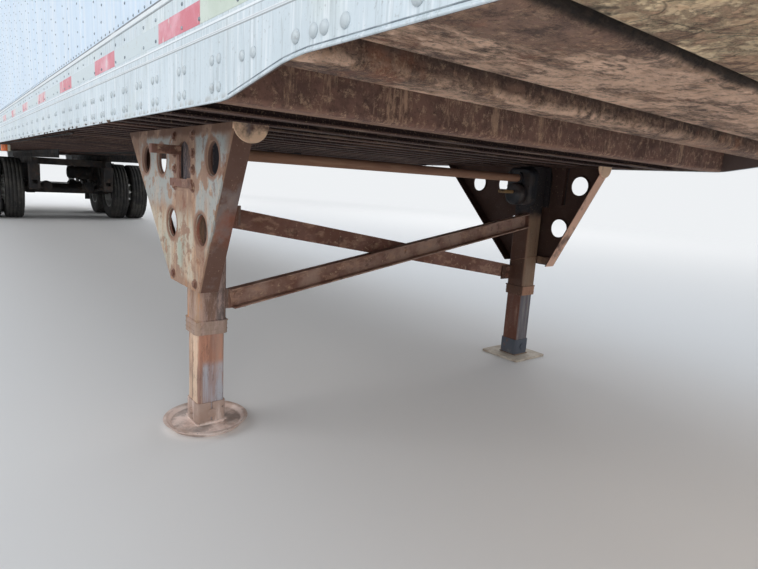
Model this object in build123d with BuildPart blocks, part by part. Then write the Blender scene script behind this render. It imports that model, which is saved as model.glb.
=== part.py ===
import os
from math import atan2, degrees, hypot, sqrt

from build123d import *

os.makedirs("parts", exist_ok=True)

# Frame: +X towards the nose, +Y the road side, +Z up, origin on the ground below the middle.
# All sizes are in millimetres.

# Box body
BODY_LENGTH = 16150.0
BODY_WIDTH = 2590.0
BODY_HEIGHT = 4115.0
WALL_THICKNESS = 45.0
WALL_SETBACK = 4.0
NOSE_CORNER_RADIUS = 120.0
ROOF_THICKNESS = 30.0
TOP_RAIL_HEIGHT = 110.0
TOP_RAIL_ROUNDING = 25.0

# Bottom rail: its lower face, the band for the tape and the lip under the wall
RAIL_BOTTOM = 1162.0
RAIL_PLATE = 8.0
RAIL_RIDGE_HEIGHT = 160.0
RAIL_RIDGE_DEPTH = 19.0
RAIL_RIDGE_REACH = 2.0
RAIL_HEIGHT = 282.0
RAIL_LIP_HEIGHT = 16.0
RAIL_LIP_REACH = 2.0
RAIL_NOSE_RISE = 52.0

# Floor and cross members
CROSS_MEMBER_DEPTH = 120.0
CROSS_MEMBER_FLANGE = 56.0
CROSS_MEMBER_METAL = 5.0
FLOOR_THICKNESS = 35.0

# Places along the body, ahead of the landing gear
NOSE_TO_LEGS = 3760.0
STEP_START = 905.0
STEP_LENGTH = 291.0
STEP_LOW_ROUNDING = 220.0
STEP_HIGH_ROUNDING = 420.0
STEP_BEAM_FLANGE = 70.0
STEP_BEAM_METAL = 7.0
REAR_CHANNEL_START = 1080.0
REAR_CHANNEL_WIDTH = 120.0
FRONT_CHANNEL_START = 1360.0
FRONT_CHANNEL_WIDTH = 300.0
NOSE_CHANNEL_METAL = 6.0
NOSE_CHANNEL_BEND = 22.0
COUPLER_START = 1680.0
COUPLER_METAL = 8.0
COUPLER_BEND = 20.0

# Kingpin
KINGPIN_SETBACK = 914.0
KINGPIN_SHOULDER_RADIUS = 36.5
KINGPIN_SHOULDER_LENGTH = 30.0
KINGPIN_NECK_RADIUS = 25.4
KINGPIN_NECK_LENGTH = 36.0
KINGPIN_HEAD_RADIUS = 35.7
KINGPIN_HEAD_LENGTH = 18.0

# Rear frame and doors
REAR_FRAME_DEPTH = 90.0
REAR_POST_WIDTH = 108.0
REAR_HEADER_HEIGHT = 150.0
REAR_SILL_DROP = 20.0
DOOR_THICKNESS = 40.0
DOOR_RECESS = 25.0
DOOR_SIDE_GAP = 5.0
DOOR_END_GAP = 8.0
DOOR_CENTRE_GAP = 10.0
HINGE_PIN_OUT = 8.0
HINGE_PIN_BACK = 18.0
HINGE_PIN_RADIUS = 6.0
HINGE_KNUCKLE_RADIUS = 12.0
HINGE_HEIGHT = 70.0
HINGE_GAP = 1.0
HINGE_STRAP_METAL = 8.0
HINGE_STRAP_LENGTH = 260.0
HINGE_LUG_HEIGHT = 40.0
HINGE_COUNT = 4
LOCK_ROD_RADIUS = 13.5
LOCK_ROD_STANDOFF = 16.0
LOCK_ROD_SETBACKS = (240.0, 780.0)
LOCK_HANDLE_LENGTH = 330.0
LOCK_HANDLE_HEIGHT = 1450.0
LOCK_HANDLE_DEPTH = 30.0
LOCK_HANDLE_ROUNDING = 12.0
LOCK_GUIDE_HEIGHT = 60.0
KEEPER_WIDTH = 60.0
KEEPER_HEIGHT = 45.0
KEEPER_DEPTH = 22.0
KEEPER_GAP = 4.0
LOCK_GUIDE_MARGIN = 10.0
LOCK_GUIDE_SHARES = (0.04, 0.35, 0.65, 0.96)
DOCK_BUMPER_ROUNDING = 15.0
DOCK_BUMPER_DEPTH = 60.0
DOCK_BUMPER_WIDTH = 230.0
DOCK_BUMPER_HEIGHT = 100.0
NOSE_BOX_DEPTH = 60.0
NOSE_BOX_WIDTH = 520.0
NOSE_BOX_HEIGHT = 170.0
NOSE_BOX_ROUNDING = 20.0
NOSE_BOX_RISE = 320.0
NOSE_SOCKET_RADIUS = 42.0
NOSE_AIR_RADIUS = 32.0
NOSE_AIR_SPACING = 360.0

# Underride guard
GUARD_BAR = 100.0
GUARD_BAR_BOTTOM = 450.0
GUARD_END_SETBACK = 60.0
GUARD_POST_SPACING = 1100.0
GUARD_POST_WIDTH = 100.0
GUARD_POST_FLARE = 45.0

# Landing gear
LEG_INSET = 308.0
OUTER_TUBE = 120.0
OUTER_TUBE_WALL = 6.0
OUTER_TUBE_ROUNDING = 18.0
COLLAR_ROUNDING = 20.0
INNER_TUBE_ROUNDING = 12.0
INNER_TUBE_GAP = 0.3
OUTER_TUBE_BOTTOM = 388.0
INNER_TUBE_TOP = 800.0
COLLAR_SIZE = 130.0
COLLAR_HEIGHT = 52.0
WING_PLATE_OFFSET = 80.0
WING_PLATE_METAL = 8.0
WING_TOP_REAR = 735.0
WING_TOP_FRONT = 445.0
WING_BOTTOM_HALF = 155.0
WING_BOTTOM = 576.0
WING_FLANGE = 65.0
WING_HOLE_RADIUS = 52.0
WING_HOLE_RIM = 7.0
WING_TOP_FLANGE = 60.0
WING_EAR_RADIUS = 58.5
WING_WINDOW_BOTTOM = 981.0
GEARBOX_WIDTH = 175.0
GEARBOX_HEIGHT = 215.0
GEARBOX_BOTTOM = 926.0
GEARBOX_REACH = 64.0
GEARBOX_CORNER = 45.0
GEARBOX_ROUNDING = 18.0
GEARBOX_BOSS_RADIUS = 34.0
GEARBOX_BOSS_LENGTH = 14.0
GEARBOX_LOBE_RADIUS = 64.0
GEARBOX_LOBE_HEIGHT = 990.0
GEARBOX_LOBE_REACH = 104.0
INPUT_SHAFT_HEIGHT = 1000.0
INPUT_SHAFT_RADIUS = 9.5
INPUT_SHAFT_END = 120.0
GEAR_COVER_RADIUS = 45.0
GEAR_COVER_REACH = 40.0
GEAR_COVER_ROUNDING = 8.0
CROSS_SHAFT_HEIGHT = 1080.0
CROSS_SHAFT_RADIUS = 22.0
BRACE_HIGH = 842.0
BRACE_LOW = 520.0
BRACE_DEPTH = 80.0
BRACE_FLANGE = 38.0
BRACE_METAL = 6.0
BRACE_END_GAP = 20.0
BRACE_LUG_OFFSET = 32.0
BRACE_LUG_METAL = 10.0
BRACE_LUG_REACH = 90.0
LEG_TOP_GAP = 12.0
LEG_CAP = 20.0
INNER_TUBE_WALL = 8.0
CRANK_RADIUS = 12.0
CRANK_STUB_RADIUS = 17.0
CRANK_REACH = 70.0
CRANK_LENGTH = 380.0
CRANK_GRIP = 90.0
STUB_SIZE = 32.0
STUB_REACH = 105.0
STUB_STRAP_METAL = 7.0
STUB_OFFSET = 40.0
STUB_HEIGHT = 1080.0
STUB_FLAT = (230.0, 30.0)
STUB_FLAT_OFFSET = 22.0
STUB_FLAT_HEIGHT = 962.0
STUB_UPRIGHT = (26.0, 136.0)
STUB_UPRIGHT_HEIGHT = 1028.0
ROUND_PAD_RADIUS = 165.0
ROUND_PAD_EDGE = 26.0
ROUND_PAD_METAL = 12.0
SQUARE_PAD = 270.0
SQUARE_PAD_METAL = 12.0
FOOT_SOCKET = 118.0
FOOT_SOCKET_TOP = 106.0
FOOT_SOCKET_SLIT = 6.0
FOOT_SOCKET_ROUNDING = 14.0
SQUARE_PAD_ROUNDING = 6.0
FOOT_PIN_RADIUS = 12.0
FOOT_PIN_HEIGHT = 62.0
FOOT_PIN_PROUD = 10.0
FOOT_SOCKET_BASE = 24.0

# Running gear
TANDEM_SETBACK = 1645.0
AXLE_SPACING = 1245.0
TYRE_RADIUS = 508.0
TYRE_WIDTH = 280.0
DUAL_SPACING = 330.0
RIM_RADIUS = 286.0
RIM_METAL = 9.0
DISC_METAL = 12.0
HUB_RADIUS = 120.0
HUB_REACH = 175.0
HAND_HOLE_RADIUS = 28.0
HAND_HOLE_CIRCLE = 205.0
HAND_HOLE_COUNT = 10
DRUM_RADIUS = 225.0
DRUM_WIDTH = 200.0
DRUM_METAL = 14.0
SPINDLE_RADIUS = 42.0
BEARING_GAP = 0.3
AXLE_TUBE_RADIUS = 63.5
AXLE_TUBE_REACH = 700.0
TYRE_SPRING_GAP = 87.0
SLIDE_RAIL_HEIGHT = 110.0
SLIDE_RAIL_FLANGE = 70.0
SLIDE_RAIL_METAL = 8.0
SLIDE_RAIL_LENGTH = 5900.0
SLIDE_RAIL_END_SETBACK = 170.0
SLIDE_HOLE_RADIUS = 16.0
SLIDE_HOLE_PITCH = 152.4
SLIDE_HOLE_MARGIN = 150.0
SLIDE_GAP = 0.3
BOGIE_RAIL_WIDTH = 90.0
BOGIE_RAIL_HEIGHT = 110.0
BOGIE_BEAM_WIDTH = 90.0
BOGIE_OVERHANG = 760.0
HANGER_BOTTOM = 520.0
HANGER_ROUNDING = 40.0
HANGER_LENGTH = 130.0
HANGER_WIDTH = 150.0
SPRING_WIDTH = 76.0
SPRING_LEAF = 17.0
SPRING_SAG = 55.0
FLAP_WIDTH = 600.0
FLAP_METAL = 10.0
FLAP_BOTTOM = 230.0
FLAP_INSET = 30.0
FLAP_BAR_HEIGHT = 90.0
TREAD_SHOULDER = 22.0
BEAD_INSET = 34.0
DISC_DISH = 45.0
DISC_FLAT_RADIUS = 170.0
HUB_CAP = 30.0
HUB_CAP_RADIUS = 78.0
DRUM_OFFSET = 30.0
BRAKE_PLATE_RADIUS = 190.0
BRAKE_PLATE_METAL = 10.0
SPRING_GAP = 0.3
SPRING_SLOT = 60.0
SPRING_END_GAP = 20.0
CLAMP_METAL = 12.0
CLAMP_HALF_LENGTH = 78.0
CLAMP_MARGIN = 14.0
CLAMP_ROD_RADIUS = 8.0
CLAMP_ROD_GAP = 0.5
CLAMP_SINK = 6.0
ROD_RADIUS = 20.0
ROD_EYE_RADIUS = 30.0
ROD_EYE_LENGTH = 44.0
ROD_SEAT_GAP = 0.3
ROD_EYE_RISE = 45.0
TANK_RADIUS = 110.0
TANK_LENGTH = 420.0
TANK_SIDE_SHIFT = 275.0
TANK_CROWN = 40.0
TANK_HANG = 12.0
TANK_STRAP_WIDTH = 34.0
TANK_STRAP_METAL = 4.0
TANK_STRAP_SPACING = 230.0
CHAMBER_INSET = 230.0
CHAMBER_RISE = 60.0
LAMP_SETBACK = 105.0
LAMP_LENGTH = 120.0
LAMP_WIDTH = 90.0
LAMP_HEIGHT = 75.0
LAMP_PLATE_METAL = 5.0
LAMP_TO_LEGS = 5570.0
REAR_LAMP_SETBACK = 300.0
EDGE_LAMP = (100.0, 34.0)
EDGE_LAMP_ROUNDING = 14.0
EDGE_LAMP_PROUD = 18.0
NOSE_LAMP_Y = 1090.0
SIDE_LAMP_SETBACK = 90.0
STOP_LAMP_RADIUS = 51.0
STOP_LAMP_COUNT = 3
STOP_LAMP_PITCH = 130.0
STOP_LAMP_GAP = 79.0
CLEARANCE_LAMP_Y = 1190.0
HEADER_LAMP_PITCH = 180.0
TYRE_SHOULDER_INSET = 8.0
DISC_INNER_MARGIN = 10.0

# Spring leaves from the top down, each a share of the span between the hangers
SPRING_SHARES = (1.0, 0.78, 0.5)

# Brake chamber, from the axle outwards: radius and length
CHAMBER_STEPS = ((84.0, 70.0), (92.0, 16.0), (84.0, 104.0), (58.0, 20.0))

# Derived places
NOSE = BODY_LENGTH / 2
REAR = -BODY_LENGTH / 2
HALF = BODY_WIDTH / 2
LEG_X = NOSE - NOSE_TO_LEGS
STEP_X = LEG_X + STEP_START
COUPLER_X = LEG_X + COUPLER_START
COUPLER_BOTTOM = RAIL_BOTTOM + RAIL_NOSE_RISE
RAIL_INNER = HALF - RAIL_PLATE
RAIL_TOP = RAIL_BOTTOM + RAIL_HEIGHT
RIDGE_TOP = RAIL_BOTTOM + RAIL_RIDGE_HEIGHT
WALL_OUTER = HALF - WALL_SETBACK
WALL_INNER = WALL_OUTER - WALL_THICKNESS
FLOOR_BOTTOM = RAIL_BOTTOM + CROSS_MEMBER_DEPTH
FLOOR_TOP = FLOOR_BOTTOM + FLOOR_THICKNESS
TOP_RAIL_BOTTOM = BODY_HEIGHT - TOP_RAIL_HEIGHT
FRAME_FRONT = REAR + REAR_FRAME_DEPTH
CORNER_X = NOSE - NOSE_CORNER_RADIUS
LEG_Y = HALF - LEG_INSET
REAR_AXLE_X = REAR + TANDEM_SETBACK
FRONT_AXLE_X = REAR_AXLE_X + AXLE_SPACING
DUAL_CENTRE = HALF - TYRE_WIDTH / 2 - DUAL_SPACING / 2
DOOR_BOTTOM = FLOOR_TOP + DOOR_END_GAP
DOOR_TOP = BODY_HEIGHT - REAR_HEADER_HEIGHT - DOOR_END_GAP
DOOR_EDGE = HALF - REAR_POST_WIDTH - DOOR_SIDE_GAP
DOOR_REAR = REAR + DOOR_RECESS
HINGE_X = REAR - HINGE_PIN_BACK
HINGE_Y = HALF + HINGE_PIN_OUT
AXLE_TOP = TYRE_RADIUS + AXLE_TUBE_RADIUS
SPRING_TOP = AXLE_TOP + len(SPRING_SHARES) * SPRING_LEAF
SPRING_END_TOP = SPRING_TOP + SPRING_SAG
SPRING_HALF = AXLE_SPACING / 2 - SPRING_END_GAP
ARCH_RADIUS = (SPRING_HALF**2 + SPRING_SAG**2) / (2 * SPRING_SAG)
BRAKE_PLATE_Y = DUAL_CENTRE - DRUM_OFFSET - DRUM_WIDTH + 2 * DRUM_METAL
WING_Y = LEG_Y + WING_PLATE_OFFSET
WING_OUTER = WING_Y + WING_PLATE_METAL
LEG_TOP = RAIL_BOTTOM - LEG_TOP_GAP
TUBE_HALF = OUTER_TUBE / 2
INNER_TUBE = OUTER_TUBE - 2 * OUTER_TUBE_WALL - 2 * INNER_TUBE_GAP
TYRE_INNER = DUAL_CENTRE - DUAL_SPACING / 2 - TYRE_WIDTH / 2
SLIDE_Y = TYRE_INNER - TYRE_SPRING_GAP - SPRING_WIDTH / 2
SLIDE_BOTTOM = RAIL_BOTTOM - SLIDE_RAIL_HEIGHT
SLIDE_REAR = REAR + SLIDE_RAIL_END_SETBACK
BOGIE_TOP = SLIDE_BOTTOM - SLIDE_GAP
BOGIE_BOTTOM = BOGIE_TOP - BOGIE_RAIL_HEIGHT
BOGIE_REAR = REAR_AXLE_X - BOGIE_OVERHANG
BOGIE_FRONT = FRONT_AXLE_X + BOGIE_OVERHANG
BOGIE_MIDDLE = (FRONT_AXLE_X + REAR_AXLE_X) / 2
SIDES = (("left", 1), ("right", -1))

# Wing plate holes: place ahead of the leg, height
WING_HOLES = ((-475.0, 1044.0), (-258.0, 1044.0), (275.0, 1053.0), (-140.0, 803.0), (172.0, 805.0))

# Wing plate window for the crank, width and height up to the crown of its arch
WING_WINDOW = (142.0, 132.0)

# Tapered gusset on the inner face of a wing plate: place ahead of the leg, height
GUSSET_TOP = RAIL_BOTTOM - WING_PLATE_METAL
GUSSET = ((88.0, GUSSET_TOP), (190.0, GUSSET_TOP), (185.0, 940.0), (159.0, 940.0))
GUSSET_DEPTH = 28.0

# Leg mounting blocks: bottom, height and width
LEG_BLOCKS = ((920.0, 230.0, 168.0), (584.0, 40.0, 280.0))

# Bogie cross beams, ahead of the middle between the axles, and the one that carries the tank
TANK_BEAM = 350.0
BOGIE_BEAMS = (-1100.0, -350.0, TANK_BEAM, 1100.0)

# Rear stop lamps, their places out from the middle of the sill, inboard of the dock bumpers
BUMPER_INNER = HALF - 1.5 * DOCK_BUMPER_WIDTH
STOP_LAMP_PLACES = [
    BUMPER_INNER - STOP_LAMP_GAP - STOP_LAMP_RADIUS - index * STOP_LAMP_PITCH
    for index in reversed(range(STOP_LAMP_COUNT))
]


def keep(piece, name):
    """Labels a finished piece and writes its file."""
    piece.part.label = name
    export_step(piece.part, f"parts/{name}.step")


def rail_section(side):
    """Bottom rail section, drawn on the YZ plane."""
    points = (
        (RAIL_INNER, RAIL_BOTTOM),
        (HALF, RAIL_BOTTOM),
        (HALF, RIDGE_TOP - RAIL_RIDGE_DEPTH),
        (HALF + RAIL_RIDGE_REACH, RIDGE_TOP - RAIL_RIDGE_DEPTH + RAIL_RIDGE_REACH),
        (HALF + RAIL_RIDGE_REACH, RIDGE_TOP - RAIL_RIDGE_REACH),
        (HALF, RIDGE_TOP),
        (HALF, RAIL_TOP - RAIL_LIP_HEIGHT - RAIL_LIP_REACH),
        (HALF + RAIL_LIP_REACH, RAIL_TOP - RAIL_LIP_HEIGHT),
        (HALF + RAIL_LIP_REACH, RAIL_TOP),
        (WALL_INNER, RAIL_TOP),
        (WALL_INNER, FLOOR_TOP),
        (RAIL_INNER, FLOOR_TOP),
    )
    return [(side * y, z) for y, z in points]


# Bottom rails, cut away below where the nose is shallower
for side_name, side in SIDES:
    with BuildPart() as bottom_rail:
        with BuildSketch(Plane.YZ.offset(FRAME_FRONT)):
            with BuildLine():
                Polyline(*rail_section(side), close=True)
            make_face()
        extrude(amount=CORNER_X - FRAME_FRONT)
        with BuildSketch(Plane.XZ):
            with BuildLine():
                cut_floor = RAIL_BOTTOM - COUPLER_BOTTOM
                FilletPolyline(
                    (STEP_X - STEP_LENGTH, RAIL_BOTTOM),
                    (STEP_X, RAIL_BOTTOM),
                    (STEP_X + STEP_LENGTH, COUPLER_BOTTOM),
                    (NOSE, COUPLER_BOTTOM),
                    radius=[STEP_LOW_ROUNDING, STEP_HIGH_ROUNDING],
                )
                Polyline(
                    (NOSE, COUPLER_BOTTOM),
                    (NOSE, RAIL_BOTTOM + cut_floor),
                    (STEP_X - STEP_LENGTH, RAIL_BOTTOM + cut_floor),
                    (STEP_X - STEP_LENGTH, RAIL_BOTTOM),
                )
            make_face()
        extrude(amount=BODY_WIDTH, both=True, mode=Mode.SUBTRACT)
    keep(bottom_rail, f"bottom_rail_{side_name}")

# Side walls
for side_name, side in SIDES:
    with BuildPart() as side_wall:
        with BuildSketch(Plane.XY.offset(RAIL_TOP)):
            with Locations(((FRAME_FRONT + CORNER_X) / 2, side * (WALL_OUTER + WALL_INNER) / 2)):
                Rectangle(CORNER_X - FRAME_FRONT, WALL_THICKNESS)
        extrude(amount=TOP_RAIL_BOTTOM - RAIL_TOP)
    keep(side_wall, f"side_wall_{side_name}")

# Top rails
with BuildPart() as top_rails:
    with BuildSketch(Plane.YZ.offset(FRAME_FRONT)):
        with Locations(((WALL_OUTER + WALL_INNER) / 2, BODY_HEIGHT - TOP_RAIL_HEIGHT / 2)):
            Rectangle(WALL_THICKNESS, TOP_RAIL_HEIGHT)
    extrude(amount=CORNER_X - FRAME_FRONT)
    outer_edge = top_rails.edges().filter_by(Axis.X).sort_by(lambda e: e.center().Y + e.center().Z)[-1]
    fillet(outer_edge, radius=TOP_RAIL_ROUNDING)
    mirror(about=Plane.XZ)
keep(top_rails, "top_rails")

# Roof
with BuildPart() as roof:
    with BuildSketch(Plane.XY.offset(BODY_HEIGHT - TOP_RAIL_ROUNDING - ROOF_THICKNESS)) as roof_outline:
        with Locations(((FRAME_FRONT + NOSE - WALL_THICKNESS) / 2, 0)):
            Rectangle(NOSE - WALL_THICKNESS - FRAME_FRONT, 2 * WALL_INNER)
        fillet(roof_outline.vertices().group_by(Axis.X)[-1], radius=NOSE_CORNER_RADIUS - WALL_THICKNESS)
    extrude(amount=ROOF_THICKNESS)
keep(roof, "roof")

# Rounded front corner posts, down to the coupler plate
POST_INNER_RADIUS = NOSE_CORNER_RADIUS - WALL_THICKNESS
with BuildPart() as corner_posts:
    with BuildSketch(Plane.XY.offset(COUPLER_BOTTOM)):
        with BuildLine():
            post_centre = (CORNER_X, WALL_OUTER - NOSE_CORNER_RADIUS)
            outer = CenterArc(post_centre, NOSE_CORNER_RADIUS, 0, 90)
            inner = CenterArc(post_centre, POST_INNER_RADIUS, 0, 90)
            Line(outer @ 0, inner @ 0)
            Line(outer @ 1, inner @ 1)
        make_face()
    extrude(amount=BODY_HEIGHT - COUPLER_BOTTOM)
    mirror(about=Plane.XZ)
keep(corner_posts, "front_corner_posts")

# Nose wall between the posts, with a sill band and a header band that stand proud of its panel
NOSE_BANDS = (
    (COUPLER_BOTTOM, RAIL_TOP),
    (TOP_RAIL_BOTTOM, BODY_HEIGHT),
)
with BuildPart() as nose_wall:
    nose_half = WALL_OUTER - NOSE_CORNER_RADIUS
    with BuildSketch(Plane.YZ.offset(NOSE - WALL_THICKNESS)):
        with Locations((0, (COUPLER_BOTTOM + BODY_HEIGHT) / 2)):
            Rectangle(2 * nose_half, BODY_HEIGHT - COUPLER_BOTTOM)
    extrude(amount=WALL_THICKNESS - WALL_SETBACK)
    with BuildSketch(Plane.YZ.offset(NOSE - WALL_SETBACK)):
        for band_bottom, band_top in NOSE_BANDS:
            with Locations((0, (band_bottom + band_top) / 2)):
                Rectangle(2 * nose_half, band_top - band_bottom)
    extrude(amount=WALL_SETBACK)
keep(nose_wall, "nose_wall")

# Plan of what lies between the rails, rounded at the nose to fit inside the corner posts
with BuildSketch() as deck_plan:
    with Locations(((FRAME_FRONT + NOSE - WALL_THICKNESS) / 2, 0)):
        Rectangle(NOSE - WALL_THICKNESS - FRAME_FRONT, 2 * WALL_INNER)
    fillet(deck_plan.vertices().group_by(Axis.X)[-1], radius=POST_INNER_RADIUS)
    with Locations(((FRAME_FRONT + CORNER_X) / 2, 0)):
        Rectangle(CORNER_X - FRAME_FRONT, 2 * RAIL_INNER)

# Socket and air coupling box low on the nose
with BuildPart() as nose_box:
    with BuildSketch(Plane.YZ.offset(NOSE - WALL_SETBACK)):
        with Locations((0, RAIL_TOP + NOSE_BOX_RISE)):
            RectangleRounded(NOSE_BOX_WIDTH, NOSE_BOX_HEIGHT, NOSE_BOX_ROUNDING)
    extrude(amount=NOSE_BOX_DEPTH + WALL_SETBACK)
    with BuildSketch(Plane.YZ.offset(NOSE + NOSE_BOX_DEPTH)):
        with Locations((0, RAIL_TOP + NOSE_BOX_RISE)):
            Circle(NOSE_SOCKET_RADIUS)
            with GridLocations(NOSE_AIR_SPACING, 0, 2, 1):
                Circle(NOSE_AIR_RADIUS)
    extrude(amount=-NOSE_BOX_DEPTH / 2, mode=Mode.SUBTRACT)
keep(nose_box, "nose_box")

# Floor
with BuildPart() as floor:
    with BuildSketch(Plane.XY.offset(FLOOR_BOTTOM)):
        add(deck_plan.sketch)
    extrude(amount=FLOOR_THICKNESS)
keep(floor, "floor")

# Cross member rows: first place from the legs, pitch, and the row's end
MEMBER_ROWS = (
    (640.0, 219.0, 400.0),
    (262.0, 160.6, -870.0),
    (-1039.0, 225.0, -1720.0),
    (-1968.0, 254.0, FRAME_FRONT + CROSS_MEMBER_FLANGE - LEG_X),
)
member_places = [
    LEG_X + start - pitch * index
    for start, pitch, end in MEMBER_ROWS
    for index in range(int((start - end) / pitch) + 1)
]
with BuildPart() as cross_members:
    for place in member_places:
        with BuildSketch(Plane.XZ.offset(-RAIL_INNER)):
            with Locations((place, RAIL_BOTTOM + CROSS_MEMBER_DEPTH / 2)):
                Rectangle(CROSS_MEMBER_METAL, CROSS_MEMBER_DEPTH)
            with Locations(
                (place, RAIL_BOTTOM + CROSS_MEMBER_METAL / 2),
                (place, FLOOR_BOTTOM - CROSS_MEMBER_METAL / 2),
            ):
                Rectangle(CROSS_MEMBER_FLANGE, CROSS_MEMBER_METAL)
    extrude(amount=2 * RAIL_INNER)
keep(cross_members, "cross_members")


# Deep beam across the step in the rails
with BuildPart() as step_beam:
    with BuildSketch(Plane.XZ.offset(-RAIL_INNER)):
        with BuildLine():
            FilletPolyline(
                (STEP_X - STEP_BEAM_FLANGE, RAIL_BOTTOM),
                (STEP_X, RAIL_BOTTOM),
                (STEP_X, FLOOR_BOTTOM),
                (STEP_X - STEP_BEAM_FLANGE, FLOOR_BOTTOM),
                radius=STEP_BEAM_METAL * 2,
            )
            FilletPolyline(
                (STEP_X - STEP_BEAM_FLANGE, FLOOR_BOTTOM - STEP_BEAM_METAL),
                (STEP_X - STEP_BEAM_METAL, FLOOR_BOTTOM - STEP_BEAM_METAL),
                (STEP_X - STEP_BEAM_METAL, RAIL_BOTTOM + STEP_BEAM_METAL),
                (STEP_X - STEP_BEAM_FLANGE, RAIL_BOTTOM + STEP_BEAM_METAL),
                radius=STEP_BEAM_METAL,
            )
            Line(
                (STEP_X - STEP_BEAM_FLANGE, RAIL_BOTTOM),
                (STEP_X - STEP_BEAM_FLANGE, RAIL_BOTTOM + STEP_BEAM_METAL),
            )
            Line(
                (STEP_X - STEP_BEAM_FLANGE, FLOOR_BOTTOM),
                (STEP_X - STEP_BEAM_FLANGE, FLOOR_BOTTOM - STEP_BEAM_METAL),
            )
        make_face()
    extrude(amount=2 * RAIL_INNER)
keep(step_beam, "step_beam")

# Pressed channels between the step and the coupler plate: place and width
NOSE_CHANNELS = (
    (REAR_CHANNEL_START, REAR_CHANNEL_WIDTH),
    (FRONT_CHANNEL_START, FRONT_CHANNEL_WIDTH),
)
with BuildPart() as nose_channels:
    for start, width in NOSE_CHANNELS:
        rear_x = LEG_X + start
        front_x = rear_x + width
        with BuildSketch(Plane.XZ.offset(-RAIL_INNER)):
            with BuildLine():
                FilletPolyline(
                    (rear_x, FLOOR_BOTTOM),
                    (rear_x, COUPLER_BOTTOM),
                    (front_x, COUPLER_BOTTOM),
                    (front_x, FLOOR_BOTTOM),
                    radius=NOSE_CHANNEL_BEND,
                )
                FilletPolyline(
                    (front_x - NOSE_CHANNEL_METAL, FLOOR_BOTTOM),
                    (front_x - NOSE_CHANNEL_METAL, COUPLER_BOTTOM + NOSE_CHANNEL_METAL),
                    (rear_x + NOSE_CHANNEL_METAL, COUPLER_BOTTOM + NOSE_CHANNEL_METAL),
                    (rear_x + NOSE_CHANNEL_METAL, FLOOR_BOTTOM),
                    radius=NOSE_CHANNEL_BEND - NOSE_CHANNEL_METAL,
                )
                Line((rear_x, FLOOR_BOTTOM), (rear_x + NOSE_CHANNEL_METAL, FLOOR_BOTTOM))
                Line((front_x, FLOOR_BOTTOM), (front_x - NOSE_CHANNEL_METAL, FLOOR_BOTTOM))
            make_face()
    extrude(amount=2 * RAIL_INNER)
keep(nose_channels, "nose_channels")

# Upper coupler plate with its rear edge turned up
with BuildPart() as coupler:
    with BuildSketch(Plane.XZ.offset(-RAIL_INNER)):
        with BuildLine():
            FilletPolyline(
                (COUPLER_X, FLOOR_BOTTOM),
                (COUPLER_X, COUPLER_BOTTOM),
                (NOSE - WALL_THICKNESS, COUPLER_BOTTOM),
                radius=COUPLER_BEND,
            )
            FilletPolyline(
                (NOSE - WALL_THICKNESS, COUPLER_BOTTOM + COUPLER_METAL),
                (COUPLER_X + COUPLER_METAL, COUPLER_BOTTOM + COUPLER_METAL),
                (COUPLER_X + COUPLER_METAL, FLOOR_BOTTOM),
                radius=COUPLER_BEND - COUPLER_METAL,
            )
            Line((COUPLER_X, FLOOR_BOTTOM), (COUPLER_X + COUPLER_METAL, FLOOR_BOTTOM))
            Line(
                (NOSE - WALL_THICKNESS, COUPLER_BOTTOM),
                (NOSE - WALL_THICKNESS, COUPLER_BOTTOM + COUPLER_METAL),
            )
        make_face()
    extrude(amount=2 * RAIL_INNER)
    with BuildSketch(Plane.XY.offset(COUPLER_BOTTOM)):
        add(deck_plan.sketch)
    extrude(amount=FLOOR_BOTTOM - COUPLER_BOTTOM, mode=Mode.INTERSECT)
keep(coupler, "upper_coupler")

# Kingpin: shoulder, neck and head, each radius and length
KINGPIN_STEPS = (
    (KINGPIN_SHOULDER_RADIUS, KINGPIN_SHOULDER_LENGTH),
    (KINGPIN_NECK_RADIUS, KINGPIN_NECK_LENGTH),
    (KINGPIN_HEAD_RADIUS, KINGPIN_HEAD_LENGTH),
)
with BuildPart() as kingpin:
    level = COUPLER_BOTTOM
    for radius, length in KINGPIN_STEPS:
        with BuildSketch(Plane.XY.offset(level)):
            with Locations((NOSE - KINGPIN_SETBACK, 0)):
                Circle(radius)
        extrude(amount=-length)
        level -= length
keep(kingpin, "kingpin")

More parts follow.
